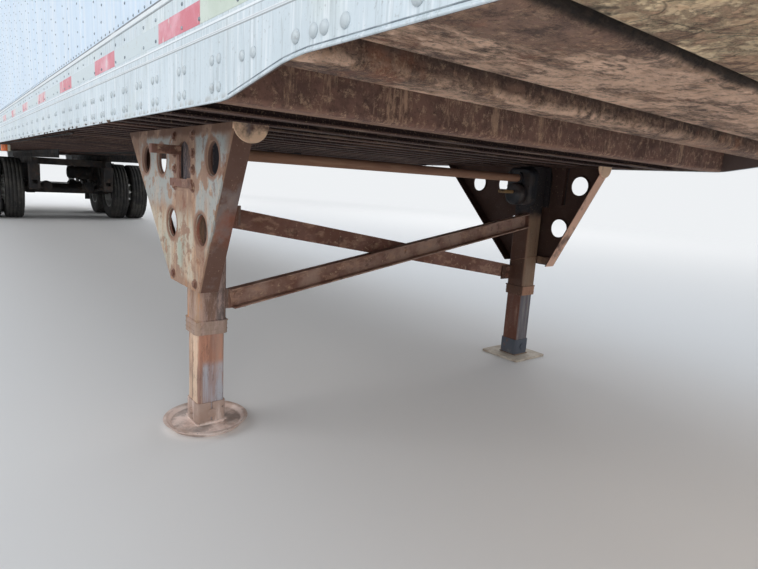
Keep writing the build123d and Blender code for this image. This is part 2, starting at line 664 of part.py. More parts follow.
# Rear frame: posts, header and sill in one ring, with the fixed hinge lugs
hinge_levels = [
    DOOR_BOTTOM + (DOOR_TOP - DOOR_BOTTOM) * (index + 0.5) / HINGE_COUNT
    for index in range(HINGE_COUNT)
]
with BuildPart() as rear_frame:
    frame_bottom = RAIL_BOTTOM - REAR_SILL_DROP
    with BuildSketch(Plane.YZ.offset(REAR)):
        with Locations((0, (frame_bottom + BODY_HEIGHT) / 2)):
            Rectangle(BODY_WIDTH, BODY_HEIGHT - frame_bottom)
        with Locations((0, (FLOOR_TOP + BODY_HEIGHT - REAR_HEADER_HEIGHT) / 2)):
            Rectangle(
                2 * (HALF - REAR_POST_WIDTH),
                BODY_HEIGHT - REAR_HEADER_HEIGHT - FLOOR_TOP,
                mode=Mode.SUBTRACT,
            )
    extrude(amount=REAR_FRAME_DEPTH)
    keeper_levels = (
        FLOOR_TOP - KEEPER_GAP - KEEPER_HEIGHT / 2,
        BODY_HEIGHT - REAR_HEADER_HEIGHT + KEEPER_GAP + KEEPER_HEIGHT / 2,
    )
    with BuildSketch(Plane.YZ.offset(REAR)):
        for setback in LOCK_ROD_SETBACKS:
            for keeper_z in keeper_levels:
                with Locations((DOOR_EDGE - setback, keeper_z)):
                    Rectangle(KEEPER_WIDTH, KEEPER_HEIGHT)
    extrude(amount=-KEEPER_DEPTH)
    for level in hinge_levels:
        for end in (-1, 1):
            lug_centre = level + end * (HINGE_HEIGHT / 2 + HINGE_GAP + HINGE_LUG_HEIGHT / 2)
            with BuildSketch(Plane.XY.offset(lug_centre - HINGE_LUG_HEIGHT / 2)):
                with Locations((HINGE_X, HINGE_Y)):
                    Circle(HINGE_KNUCKLE_RADIUS)
                with BuildLine():
                    Polyline(
                        (HINGE_X, HINGE_Y + HINGE_KNUCKLE_RADIUS),
                        (REAR + HINGE_KNUCKLE_RADIUS, HALF),
                        (REAR, HALF - 2 * HINGE_KNUCKLE_RADIUS),
                        (HINGE_X - HINGE_KNUCKLE_RADIUS, HINGE_Y),
                        close=True,
                    )
                make_face()
            extrude(amount=HINGE_LUG_HEIGHT)
        with BuildSketch(Plane.XY.offset(level - HINGE_HEIGHT / 2 - HINGE_GAP)):
            with Locations((HINGE_X, HINGE_Y)):
                Circle(HINGE_PIN_RADIUS)
        extrude(amount=HINGE_HEIGHT + 2 * HINGE_GAP)
    mirror(about=Plane.XZ)
keep(rear_frame, "rear_frame")

# Swing doors, each a panel with the straps of its hinges
for side_name, side in SIDES:
    strap_step = HINGE_X + HINGE_KNUCKLE_RADIUS
    with BuildPart() as door:
        with BuildSketch(Plane.XY.offset(DOOR_BOTTOM)):
            with Locations(
                (DOOR_REAR + DOOR_THICKNESS / 2, side * (DOOR_EDGE + DOOR_CENTRE_GAP / 2) / 2)
            ):
                Rectangle(DOOR_THICKNESS, DOOR_EDGE - DOOR_CENTRE_GAP / 2)
        extrude(amount=DOOR_TOP - DOOR_BOTTOM)
        for level in hinge_levels:
            with BuildSketch(Plane.XY.offset(level - HINGE_HEIGHT / 2)):
                with Locations((HINGE_X, side * HINGE_Y)):
                    Circle(HINGE_KNUCKLE_RADIUS)
                with BuildLine():
                    strap = (
                        (HINGE_X + HINGE_KNUCKLE_RADIUS, HINGE_Y),
                        (strap_step, DOOR_EDGE),
                        (DOOR_REAR, DOOR_EDGE - HINGE_STRAP_METAL),
                        (DOOR_REAR, HINGE_Y - HINGE_STRAP_LENGTH),
                        (DOOR_REAR - HINGE_STRAP_METAL, HINGE_Y - HINGE_STRAP_LENGTH),
                        (DOOR_REAR - HINGE_STRAP_METAL, DOOR_EDGE - HINGE_STRAP_LENGTH / 8),
                        (strap_step - HINGE_STRAP_METAL, DOOR_EDGE - HINGE_STRAP_METAL),
                        (strap_step - HINGE_STRAP_METAL, HINGE_Y),
                    )
                    Polyline(*[(x, side * y) for x, y in strap], close=True)
                make_face()
                with Locations((HINGE_X, side * HINGE_Y)):
                    Circle(HINGE_PIN_RADIUS + BEARING_GAP, mode=Mode.SUBTRACT)
            extrude(amount=HINGE_HEIGHT)
    keep(door, f"door_{side_name}")

# Lock rods, their guides and handles, flat against each door
for side_name, side in SIDES:
    rod_x = DOOR_REAR - LOCK_ROD_STANDOFF - LOCK_ROD_RADIUS
    with BuildPart() as door_locks:
        for setback in LOCK_ROD_SETBACKS:
            rod_y = side * (DOOR_EDGE - setback)
            with BuildSketch(Plane.XY.offset(DOOR_BOTTOM)):
                with Locations((rod_x, rod_y)):
                    Circle(LOCK_ROD_RADIUS)
            extrude(amount=DOOR_TOP - DOOR_BOTTOM)
            for share in LOCK_GUIDE_SHARES:
                guide_z = DOOR_BOTTOM + (DOOR_TOP - DOOR_BOTTOM) * share
                with BuildSketch(Plane.XY.offset(guide_z - LOCK_GUIDE_HEIGHT / 2)):
                    with Locations(((rod_x + DOOR_REAR) / 2, rod_y)):
                        Rectangle(DOOR_REAR - rod_x, 2 * (LOCK_ROD_RADIUS + LOCK_GUIDE_MARGIN))
                extrude(amount=LOCK_GUIDE_HEIGHT)
            with BuildSketch(Plane.YZ.offset(rod_x - LOCK_ROD_RADIUS / 2)):
                with Locations((rod_y - side * LOCK_HANDLE_LENGTH / 2, LOCK_HANDLE_HEIGHT)):
                    RectangleRounded(LOCK_HANDLE_LENGTH, LOCK_HANDLE_DEPTH, LOCK_HANDLE_ROUNDING)
            extrude(amount=LOCK_ROD_RADIUS)
    keep(door_locks, f"door_locks_{side_name}")

# Dock bumpers on the sill
with BuildPart() as bumpers:
    with BuildSketch(Plane.YZ.offset(REAR)):
        with GridLocations(BODY_WIDTH - 2 * DOCK_BUMPER_WIDTH, 0, 2, 1):
            with Locations((0, RAIL_BOTTOM + DOCK_BUMPER_HEIGHT / 2)):
                RectangleRounded(DOCK_BUMPER_WIDTH, DOCK_BUMPER_HEIGHT, DOCK_BUMPER_ROUNDING)
    extrude(amount=-DOCK_BUMPER_DEPTH)
keep(bumpers, "dock_bumpers")

# Underride guard: two posts and a cross bar
with BuildPart() as guard:
    guard_top = RAIL_BOTTOM - REAR_SILL_DROP
    with BuildSketch(Plane.YZ.offset(REAR)):
        with Locations((0, GUARD_BAR_BOTTOM + GUARD_BAR / 2)):
            Rectangle(BODY_WIDTH - 2 * GUARD_END_SETBACK, GUARD_BAR)
    extrude(amount=GUARD_BAR)
    post_bottom = GUARD_BAR_BOTTOM + GUARD_BAR
    with BuildSketch(Plane.YZ.offset(REAR)):
        for side_name, side in SIDES:
            post_middle = side * GUARD_POST_SPACING / 2
            with BuildLine():
                Polyline(
                    (post_middle - GUARD_POST_WIDTH / 2, post_bottom),
                    (post_middle + GUARD_POST_WIDTH / 2, post_bottom),
                    (post_middle + GUARD_POST_WIDTH / 2 + GUARD_POST_FLARE, guard_top),
                    (post_middle - GUARD_POST_WIDTH / 2 - GUARD_POST_FLARE, guard_top),
                    close=True,
                )
            make_face()
    extrude(amount=REAR_FRAME_DEPTH)
keep(guard, "underride_guard")

# Wing plates that brace the legs to the body, with rimmed holes
with BuildPart() as wing_plates:
    with BuildSketch(Plane.XZ.offset(-WING_Y)):
        with BuildLine():
            Polyline(
                (LEG_X - WING_TOP_REAR, RAIL_BOTTOM),
                (LEG_X + WING_TOP_FRONT, RAIL_BOTTOM),
                (LEG_X + WING_BOTTOM_HALF, WING_BOTTOM),
                (LEG_X - WING_BOTTOM_HALF, WING_BOTTOM),
                close=True,
            )
        make_face()
    extrude(amount=-WING_PLATE_METAL)
    for top_x, bottom_x, inset in (
        (WING_TOP_FRONT, WING_BOTTOM_HALF, -WING_PLATE_METAL),
        (-WING_TOP_REAR, -WING_BOTTOM_HALF, WING_PLATE_METAL),
    ):
        with BuildSketch(Plane.XZ.offset(-WING_Y)):
            with BuildLine():
                Polyline(
                    (LEG_X + top_x, RAIL_BOTTOM),
                    (LEG_X + bottom_x, WING_BOTTOM),
                    (LEG_X + bottom_x + inset, WING_BOTTOM),
                    (LEG_X + top_x + inset, RAIL_BOTTOM),
                    close=True,
                )
            make_face()
        extrude(amount=WING_FLANGE)
    with BuildSketch(Plane.XY.offset(RAIL_BOTTOM)):
        with Locations((LEG_X + (WING_TOP_FRONT - WING_TOP_REAR) / 2, WING_Y - WING_TOP_FLANGE / 2)):
            Rectangle(WING_TOP_FRONT + WING_TOP_REAR, WING_TOP_FLANGE)
    extrude(amount=-WING_PLATE_METAL)
    ear_centre = (WING_OUTER - WING_EAR_RADIUS, RAIL_BOTTOM)
    with BuildSketch(Plane.YZ.offset(LEG_X + WING_TOP_FRONT)):
        with Locations(ear_centre):
            Circle(WING_EAR_RADIUS)
        with Locations((ear_centre[0], RAIL_BOTTOM + WING_EAR_RADIUS / 2)):
            Rectangle(2 * WING_EAR_RADIUS, WING_EAR_RADIUS, mode=Mode.SUBTRACT)
    extrude(amount=-WING_PLATE_METAL)
    # the holes are dished: a boss inboard, then a tapered cut from the outer face
    dish_depth = WING_PLATE_METAL + WING_HOLE_RIM
    with BuildSketch(Plane.XZ.offset(-WING_Y)):
        for hole_x, hole_z in WING_HOLES:
            with Locations((LEG_X + hole_x, hole_z)):
                Circle(WING_HOLE_RADIUS + WING_HOLE_RIM)
    extrude(amount=WING_HOLE_RIM)
    with BuildSketch(Plane.XZ.offset(-WING_OUTER)):
        for hole_x, hole_z in WING_HOLES:
            with Locations((LEG_X + hole_x, hole_z)):
                Circle(WING_HOLE_RADIUS + WING_HOLE_RIM)
    extrude(amount=dish_depth, taper=degrees(atan2(WING_HOLE_RIM, dish_depth)), mode=Mode.SUBTRACT)
    arch_z = WING_WINDOW_BOTTOM + WING_WINDOW[1] - WING_WINDOW[0] / 2
    with BuildSketch(Plane.XZ.offset(-WING_Y)):
        with Locations((LEG_X, (WING_WINDOW_BOTTOM + arch_z) / 2)):
            Rectangle(WING_WINDOW[0], arch_z - WING_WINDOW_BOTTOM)
        with Locations((LEG_X, arch_z)):
            Circle(WING_WINDOW[0] / 2)
    extrude(amount=-WING_PLATE_METAL, mode=Mode.SUBTRACT)
    for face in (-1, 1):
        with BuildSketch(Plane.XZ.offset(-WING_Y)):
            with BuildLine():
                Polyline(*[(LEG_X + face * x, z) for x, z in GUSSET], close=True)
            make_face()
        extrude(amount=GUSSET_DEPTH)
    mirror(about=Plane.XZ)
keep(wing_plates, "wing_plates")

# Outer leg tubes with collar, mounting blocks and lugs for the braces
with BuildPart() as outer_legs:
    for side_name, side in SIDES:
        with BuildSketch(Plane.XY.offset(OUTER_TUBE_BOTTOM)):
            with Locations((LEG_X, side * LEG_Y)):
                RectangleRounded(OUTER_TUBE, OUTER_TUBE, OUTER_TUBE_ROUNDING)
        extrude(amount=LEG_TOP - OUTER_TUBE_BOTTOM)
        with BuildSketch(Plane.XY.offset(OUTER_TUBE_BOTTOM)):
            with Locations((LEG_X, side * LEG_Y)):
                RectangleRounded(COLLAR_SIZE, COLLAR_SIZE, COLLAR_ROUNDING)
        extrude(amount=COLLAR_HEIGHT)
        block_middle = side * (LEG_Y + TUBE_HALF + WING_Y) / 2
        for bottom, height, width in LEG_BLOCKS:
            with BuildSketch(Plane.XY.offset(bottom)):
                with Locations((LEG_X, block_middle)):
                    Rectangle(width, WING_Y - LEG_Y - TUBE_HALF)
            extrude(amount=height)
        for lug_side, lug_z in ((side, BRACE_HIGH), (-side, BRACE_LOW)):
            # the front brace is high on the road side, the rear one low there
            front = 1 if (side > 0) == (lug_z == BRACE_HIGH) else -1
            with BuildSketch(Plane.XY.offset(lug_z - BRACE_DEPTH / 2)):
                with Locations(
                    (
                        LEG_X + front * BRACE_LUG_OFFSET,
                        side * (LEG_Y - TUBE_HALF - BRACE_LUG_REACH / 2),
                    )
                ):
                    Rectangle(BRACE_LUG_METAL, BRACE_LUG_REACH)
            extrude(amount=BRACE_DEPTH)
        with BuildSketch(Plane.XY.offset(OUTER_TUBE_BOTTOM)):
            with Locations((LEG_X, side * LEG_Y)):
                bore = OUTER_TUBE - 2 * OUTER_TUBE_WALL
                RectangleRounded(bore, bore, INNER_TUBE_ROUNDING)
        extrude(amount=LEG_TOP - OUTER_TUBE_BOTTOM - LEG_CAP, mode=Mode.SUBTRACT)
keep(outer_legs, "outer_legs")

# Two-speed gearbox on the road leg with its round lobe, and the small cover on the curb leg
LEG_INNER_Y = LEG_Y - TUBE_HALF
with BuildPart() as gearboxes:
    with BuildSketch(Plane.XZ.offset(-LEG_INNER_Y)):
        with Locations((LEG_X, GEARBOX_BOTTOM + GEARBOX_HEIGHT / 2)):
            RectangleRounded(GEARBOX_WIDTH, GEARBOX_HEIGHT, GEARBOX_CORNER)
    extrude(amount=GEARBOX_REACH)
    inboard = gearboxes.faces().sort_by(Axis.Y)[0]
    fillet(inboard.edges(), radius=GEARBOX_ROUNDING)
    with BuildSketch(Plane.XZ.offset(-LEG_INNER_Y)):
        with Locations((LEG_X, GEARBOX_LOBE_HEIGHT)):
            Circle(GEARBOX_LOBE_RADIUS)
    extrude(amount=GEARBOX_LOBE_REACH)
    lobe_end = gearboxes.faces().sort_by(Axis.Y)[0]
    fillet(lobe_end.edges(), radius=GEARBOX_ROUNDING)
    for height, radius, reach in (
        (CROSS_SHAFT_HEIGHT, GEARBOX_BOSS_RADIUS, GEARBOX_REACH + GEARBOX_BOSS_LENGTH),
        (INPUT_SHAFT_HEIGHT, INPUT_SHAFT_RADIUS, GEARBOX_LOBE_REACH + INPUT_SHAFT_END),
    ):
        with BuildSketch(Plane.XZ.offset(-LEG_INNER_Y)):
            with Locations((LEG_X, height)):
                Circle(radius)
        extrude(amount=reach)
    with BuildSketch(Plane.XZ.offset(LEG_INNER_Y)):
        with Locations((LEG_X, CROSS_SHAFT_HEIGHT)):
            Circle(GEAR_COVER_RADIUS)
    extrude(amount=-GEAR_COVER_REACH)
    cover_middle = Vector(LEG_X, GEAR_COVER_REACH - LEG_INNER_Y, CROSS_SHAFT_HEIGHT)
    circles = gearboxes.edges().filter_by(GeomType.CIRCLE)
    cover_edge = circles.sort_by(lambda e: (e.arc_center - cover_middle).length)[0]
    fillet(cover_edge, radius=GEAR_COVER_ROUNDING)
keep(gearboxes, "gearboxes")

# Cross shaft that turns both legs' screws together
with BuildPart() as cross_shaft:
    shaft_road = LEG_INNER_Y - GEARBOX_REACH - GEARBOX_BOSS_LENGTH
    shaft_curb = LEG_INNER_Y - GEAR_COVER_REACH
    with BuildSketch(Plane.XZ.offset(-shaft_road)):
        with Locations((LEG_X, CROSS_SHAFT_HEIGHT)):
            Circle(CROSS_SHAFT_RADIUS)
    extrude(amount=shaft_road + shaft_curb)
keep(cross_shaft, "cross_shaft")

# Crossed braces between the legs: name, side of the legs, height on the curb and the road side
BRACES = (
    ("brace_front", 1, BRACE_LOW, BRACE_HIGH),
    ("brace_rear", -1, BRACE_HIGH, BRACE_LOW),
)
brace_half = LEG_Y - TUBE_HALF - BRACE_END_GAP
for brace_name, face, curb_z, road_z in BRACES:
    rise = road_z - curb_z
    run = 2 * (LEG_Y - TUBE_HALF)
    length = 2 * brace_half * hypot(run, rise) / run
    slope = rise / run
    end_z = (curb_z + road_z) / 2 - brace_half * slope
    brace_plane = Plane(
        origin=(LEG_X + face * (BRACE_LUG_OFFSET + BRACE_LUG_METAL / 2), -brace_half, end_z),
        x_dir=(face, 0, 0),
        z_dir=(0, run, rise),
    )
    with BuildPart() as brace:
        with BuildSketch(brace_plane):
            with BuildLine():
                Polyline(
                    (0, -BRACE_DEPTH / 2),
                    (BRACE_FLANGE, -BRACE_DEPTH / 2),
                    (BRACE_FLANGE, -BRACE_DEPTH / 2 + BRACE_METAL),
                    (BRACE_METAL, -BRACE_DEPTH / 2 + BRACE_METAL),
                    (BRACE_METAL, BRACE_DEPTH / 2 - BRACE_METAL),
                    (BRACE_FLANGE, BRACE_DEPTH / 2 - BRACE_METAL),
                    (BRACE_FLANGE, BRACE_DEPTH / 2),
                    (0, BRACE_DEPTH / 2),
                    close=True,
                )
            make_face()
        extrude(amount=length)
    keep(brace, brace_name)

# Inner leg tubes, which slide up into the outer ones
for side_name, side in SIDES:
    with BuildPart() as inner_leg:
        with BuildSketch(Plane.XY.offset(FOOT_SOCKET_BASE)):
            with Locations((LEG_X, side * LEG_Y)):
                RectangleRounded(INNER_TUBE, INNER_TUBE, INNER_TUBE_ROUNDING)
                hollow = INNER_TUBE - 2 * INNER_TUBE_WALL
                Rectangle(hollow, hollow, mode=Mode.SUBTRACT)
        extrude(amount=INNER_TUBE_TOP - FOOT_SOCKET_BASE)
    keep(inner_leg, f"inner_leg_{side_name}")

# Curb foot: round dished pad with a socket that is split in front, and its pin
with BuildPart() as round_foot:
    with BuildSketch(Plane.XZ.offset(LEG_Y)):
        with BuildLine():
            Polyline(
                (LEG_X, 0),
                (LEG_X + ROUND_PAD_RADIUS - ROUND_PAD_EDGE, 0),
                (LEG_X + ROUND_PAD_RADIUS, ROUND_PAD_EDGE),
                (LEG_X + ROUND_PAD_RADIUS - ROUND_PAD_METAL, ROUND_PAD_EDGE),
                (LEG_X + ROUND_PAD_RADIUS - ROUND_PAD_EDGE - ROUND_PAD_METAL / 2, ROUND_PAD_METAL),
                (LEG_X, ROUND_PAD_METAL),
                close=True,
            )
        make_face()
    revolve(axis=Axis((LEG_X, -LEG_Y, 0), (0, 0, 1)))
    with BuildSketch(Plane.XY.offset(ROUND_PAD_METAL)):
        with Locations((LEG_X, -LEG_Y)):
            RectangleRounded(FOOT_SOCKET, FOOT_SOCKET, FOOT_SOCKET_ROUNDING)
    extrude(amount=FOOT_SOCKET_TOP - ROUND_PAD_METAL)
    with BuildSketch(Plane.XZ.offset(LEG_Y - FOOT_SOCKET / 2 - FOOT_PIN_PROUD)):
        with Locations((LEG_X, FOOT_PIN_HEIGHT)):
            Circle(FOOT_PIN_RADIUS)
    extrude(amount=FOOT_SOCKET + 2 * FOOT_PIN_PROUD)
    with BuildSketch(Plane.XY.offset(FOOT_SOCKET_BASE)):
        with Locations((LEG_X, -LEG_Y)):
            RectangleRounded(INNER_TUBE, INNER_TUBE, INNER_TUBE_ROUNDING)
        with Locations((LEG_X + FOOT_SOCKET / 2, -LEG_Y)):
            Rectangle(FOOT_SOCKET / 2, FOOT_SOCKET_SLIT)
    extrude(amount=FOOT_SOCKET_TOP - FOOT_SOCKET_BASE, mode=Mode.SUBTRACT)
keep(round_foot, "foot_right")

# Road foot: square pad with a closed socket round the tube
with BuildPart() as square_foot:
    with BuildSketch(Plane.XY):
        with Locations((LEG_X, LEG_Y)):
            RectangleRounded(SQUARE_PAD, SQUARE_PAD, SQUARE_PAD_ROUNDING)
    extrude(amount=SQUARE_PAD_METAL)
    with BuildSketch(Plane.XY.offset(SQUARE_PAD_METAL)):
        with Locations((LEG_X, LEG_Y)):
            RectangleRounded(FOOT_SOCKET, FOOT_SOCKET, FOOT_SOCKET_ROUNDING)
    extrude(amount=FOOT_SOCKET_TOP - SQUARE_PAD_METAL)
    with BuildSketch(Plane.XY.offset(FOOT_SOCKET_BASE)):
        with Locations((LEG_X, LEG_Y)):
            RectangleRounded(INNER_TUBE, INNER_TUBE, INNER_TUBE_ROUNDING)
    extrude(amount=FOOT_SOCKET_TOP - FOOT_SOCKET_BASE, mode=Mode.SUBTRACT)
keep(square_foot, "foot_left")

# Crank stub and folded crank on the road side
with BuildPart() as crank:
    with BuildSketch(Plane.XZ.offset(-WING_Y)):
        with Locations((LEG_X, INPUT_SHAFT_HEIGHT)):
            Circle(CRANK_STUB_RADIUS)
    extrude(amount=-CRANK_REACH)
    with BuildSketch(Plane.YZ.offset(LEG_X + CRANK_RADIUS)):
        with Locations((WING_Y + CRANK_REACH - CRANK_STUB_RADIUS, INPUT_SHAFT_HEIGHT)):
            Circle(CRANK_RADIUS)
    extrude(amount=-CRANK_LENGTH)
    with BuildSketch(Plane.XZ.offset(-(WING_Y + CRANK_REACH - CRANK_STUB_RADIUS))):
        with Locations((LEG_X + CRANK_RADIUS - CRANK_LENGTH, INPUT_SHAFT_HEIGHT)):
            Circle(CRANK_RADIUS)
    extrude(amount=-CRANK_GRIP)
keep(crank, "crank")

# Square stub and strap bracket outboard of the curb wing plate
with BuildPart() as stub:
    with BuildSketch(Plane.XZ.offset(WING_OUTER)):
        with Locations((LEG_X - STUB_FLAT_OFFSET, STUB_FLAT_HEIGHT)):
            Rectangle(*STUB_FLAT)
        with Locations((LEG_X - STUB_OFFSET, STUB_UPRIGHT_HEIGHT)):
            Rectangle(*STUB_UPRIGHT)
    extrude(amount=STUB_STRAP_METAL)
    with BuildSketch(Plane.XZ.offset(WING_OUTER)):
        with Locations((LEG_X - STUB_OFFSET, STUB_HEIGHT)):
            Rectangle(STUB_SIZE, STUB_SIZE)
    extrude(amount=STUB_REACH)
keep(stub, "curb_stub")

# Slide rails under the cross members
with BuildPart() as slide_rails:
    with BuildSketch(Plane.YZ.offset(SLIDE_REAR)):
        with BuildLine():
            Polyline(
                (SLIDE_Y, RAIL_BOTTOM),
                (SLIDE_Y - SLIDE_RAIL_FLANGE, RAIL_BOTTOM),
                (SLIDE_Y - SLIDE_RAIL_FLANGE, RAIL_BOTTOM - SLIDE_RAIL_METAL),
                (SLIDE_Y - SLIDE_RAIL_METAL, RAIL_BOTTOM - SLIDE_RAIL_METAL),
                (SLIDE_Y - SLIDE_RAIL_METAL, SLIDE_BOTTOM),
                (SLIDE_Y + SLIDE_RAIL_FLANGE, SLIDE_BOTTOM),
                (SLIDE_Y + SLIDE_RAIL_FLANGE, SLIDE_BOTTOM + SLIDE_RAIL_METAL),
                (SLIDE_Y, SLIDE_BOTTOM + SLIDE_RAIL_METAL),
                close=True,
            )
        make_face()
    extrude(amount=SLIDE_RAIL_LENGTH)
    hole_count = int((SLIDE_RAIL_LENGTH - 2 * SLIDE_HOLE_MARGIN) / SLIDE_HOLE_PITCH) + 1
    with BuildSketch(Plane.XZ.offset(-SLIDE_Y)):
        with Locations((SLIDE_REAR + SLIDE_RAIL_LENGTH / 2, RAIL_BOTTOM - SLIDE_RAIL_HEIGHT / 2)):
            with GridLocations(SLIDE_HOLE_PITCH, 0, hole_count, 1):
                Circle(SLIDE_HOLE_RADIUS)
    extrude(amount=SLIDE_RAIL_METAL, mode=Mode.SUBTRACT)
    mirror(about=Plane.XZ)
keep(slide_rails, "slide_rails")

# Bogie frame: box rails that run under the slide rails, cross beams and spring hangers
HANGER_PLACES = (
    BOGIE_MIDDLE - AXLE_SPACING,
    BOGIE_MIDDLE,
    BOGIE_MIDDLE + AXLE_SPACING,
)
with BuildPart() as bogie_frame:
    with BuildSketch(Plane.XY.offset(BOGIE_BOTTOM)):
        with Locations((BOGIE_MIDDLE, SLIDE_Y), (BOGIE_MIDDLE, -SLIDE_Y)):
            Rectangle(BOGIE_FRONT - BOGIE_REAR, BOGIE_RAIL_WIDTH)
        for place in BOGIE_BEAMS:
            with Locations((BOGIE_MIDDLE + place, 0)):
                Rectangle(BOGIE_BEAM_WIDTH, 2 * SLIDE_Y)
    extrude(amount=BOGIE_RAIL_HEIGHT)
    for place in HANGER_PLACES:
        for side_name, side in SIDES:
            with BuildSketch(Plane.XZ.offset(-side * SLIDE_Y - HANGER_WIDTH / 2)):
                with BuildLine():
                    FilletPolyline(
                        (place - HANGER_LENGTH, BOGIE_BOTTOM),
                        (place - HANGER_LENGTH / 2, HANGER_BOTTOM),
                        (place + HANGER_LENGTH / 2, HANGER_BOTTOM),
                        (place + HANGER_LENGTH, BOGIE_BOTTOM),
                        radius=HANGER_ROUNDING,
                    )
                    Line((place + HANGER_LENGTH, BOGIE_BOTTOM), (place - HANGER_LENGTH, BOGIE_BOTTOM))
                make_face()
            extrude(amount=HANGER_WIDTH)
            with BuildSketch(Plane.XZ.offset(-side * SLIDE_Y - SPRING_WIDTH / 2 - SPRING_GAP)):
                with Locations((place, SPRING_END_TOP - SPRING_SLOT / 2)):
                    Rectangle(2 * HANGER_LENGTH, SPRING_SLOT)
            extrude(amount=SPRING_WIDTH + 2 * SPRING_GAP, mode=Mode.SUBTRACT)
keep(bogie_frame, "bogie_frame")

# Leaf springs, each a pack of arched leaves from hanger to hanger over its axle
with BuildPart() as springs:
    for hangers in (HANGER_PLACES[1:], HANGER_PLACES[:2]):
        span_middle = (hangers[0] + hangers[1]) / 2
        for side_name, side in SIDES:
            for leaf, share in enumerate(SPRING_SHARES):
                with BuildSketch(Plane.XZ.offset(-side * SLIDE_Y - SPRING_WIDTH / 2)):
                    with Locations((span_middle, SPRING_TOP + ARCH_RADIUS)):
                        Circle(ARCH_RADIUS + (leaf + 1) * SPRING_LEAF)
                        Circle(ARCH_RADIUS + leaf * SPRING_LEAF, mode=Mode.SUBTRACT)
                    with Locations((span_middle, SPRING_TOP)):
                        Rectangle(2 * SPRING_HALF * share, 4 * SPRING_SAG, mode=Mode.INTERSECT)
                extrude(amount=SPRING_WIDTH)
keep(springs, "leaf_springs")

# Radius rods, one inboard of each spring, from the hanger ahead of its axle back to the tube
with BuildPart() as radius_rods:
    rod_y = SLIDE_Y - HANGER_WIDTH / 2 - ROD_SEAT_GAP - ROD_EYE_LENGTH / 2
    for axle_x, hanger_x in ((FRONT_AXLE_X, HANGER_PLACES[2]), (REAR_AXLE_X, HANGER_PLACES[1])):
        rear_eye = (axle_x + AXLE_TUBE_RADIUS + ROD_SEAT_GAP + ROD_EYE_RADIUS, TYRE_RADIUS)
        front_eye = (hanger_x, HANGER_BOTTOM + ROD_EYE_RISE)
        run = front_eye[0] - rear_eye[0]
        rise = front_eye[1] - rear_eye[1]
        for side_name, side in SIDES:
            with BuildSketch(Plane.XZ.offset(-side * rod_y - ROD_EYE_LENGTH / 2)):
                with Locations(rear_eye, front_eye):
                    Circle(ROD_EYE_RADIUS)
            extrude(amount=ROD_EYE_LENGTH)
            rod_plane = Plane(
                origin=(rear_eye[0], side * rod_y, rear_eye[1]),
                x_dir=(0, 1, 0),
                z_dir=(run, 0, rise),
            )
            with BuildSketch(rod_plane):
                Circle(ROD_RADIUS)
            extrude(amount=hypot(run, rise))
keep(radius_rods, "radius_rods")

# Axles: tube, spindles, spring seats with their clamps, and the brake plates inside the drums
with BuildPart() as axles:
    for axle_x in (FRONT_AXLE_X, REAR_AXLE_X):
        for radius, reach in (
            (AXLE_TUBE_RADIUS, AXLE_TUBE_REACH),
            (SPINDLE_RADIUS, DUAL_CENTRE + HUB_REACH - HUB_CAP),
        ):
            with BuildSketch(Plane.XZ.offset(-reach)):
                with Locations((axle_x, TYRE_RADIUS)):
                    Circle(radius)
            extrude(amount=2 * reach)
        for side_name, side in SIDES:
            with BuildSketch(Plane.XZ.offset(-side * BRAKE_PLATE_Y - BRAKE_PLATE_METAL / 2)):
                with Locations((axle_x, TYRE_RADIUS)):
                    Circle(BRAKE_PLATE_RADIUS)
            extrude(amount=BRAKE_PLATE_METAL)
            with BuildSketch(Plane.XZ.offset(-side * SLIDE_Y - SPRING_WIDTH / 2)):
                with Locations((axle_x, TYRE_RADIUS + AXLE_TUBE_RADIUS / 2)):
                    Rectangle(2 * CLAMP_HALF_LENGTH, AXLE_TUBE_RADIUS)
            extrude(amount=SPRING_WIDTH)
            # clamp plates above the spring and below the tube, with their four rods
            rod_offset = SPRING_WIDTH / 2 + CLAMP_ROD_GAP + CLAMP_ROD_RADIUS
            plate_half = CLAMP_HALF_LENGTH + CLAMP_MARGIN
            plate_bottoms = (
                TYRE_RADIUS - AXLE_TUBE_RADIUS + CLAMP_SINK - CLAMP_METAL,
                SPRING_TOP + ARCH_RADIUS - sqrt(ARCH_RADIUS**2 - plate_half**2),
            )
            for plate_bottom in plate_bottoms:
                with BuildSketch(Plane.XY.offset(plate_bottom)):
                    with Locations((axle_x, side * SLIDE_Y)):
                        Rectangle(2 * plate_half, 2 * (rod_offset + CLAMP_MARGIN))
                extrude(amount=CLAMP_METAL)
            with BuildSketch(Plane.XY.offset(plate_bottoms[0])):
                with Locations((axle_x, side * SLIDE_Y)):
                    with GridLocations(2 * CLAMP_HALF_LENGTH, 2 * rod_offset, 2, 2):
                        Circle(CLAMP_ROD_RADIUS)
            extrude(amount=plate_bottoms[1] + 2 * CLAMP_METAL - plate_bottoms[0])
keep(axles, "axles")

# Brake chambers ahead of the front axle and behind the rear one
with BuildPart() as chambers:
    for axle_x, face in ((FRONT_AXLE_X, 1), (REAR_AXLE_X, -1)):
        for side_name, side in SIDES:
            step_x = axle_x + face * AXLE_TUBE_RADIUS
            for radius, length in CHAMBER_STEPS:
                with BuildSketch(Plane.YZ.offset(step_x)):
                    with Locations((side * (SLIDE_Y - CHAMBER_INSET), TYRE_RADIUS + CHAMBER_RISE)):
                        Circle(radius)
                extrude(amount=face * length)
                step_x += face * length
keep(chambers, "brake_chambers")

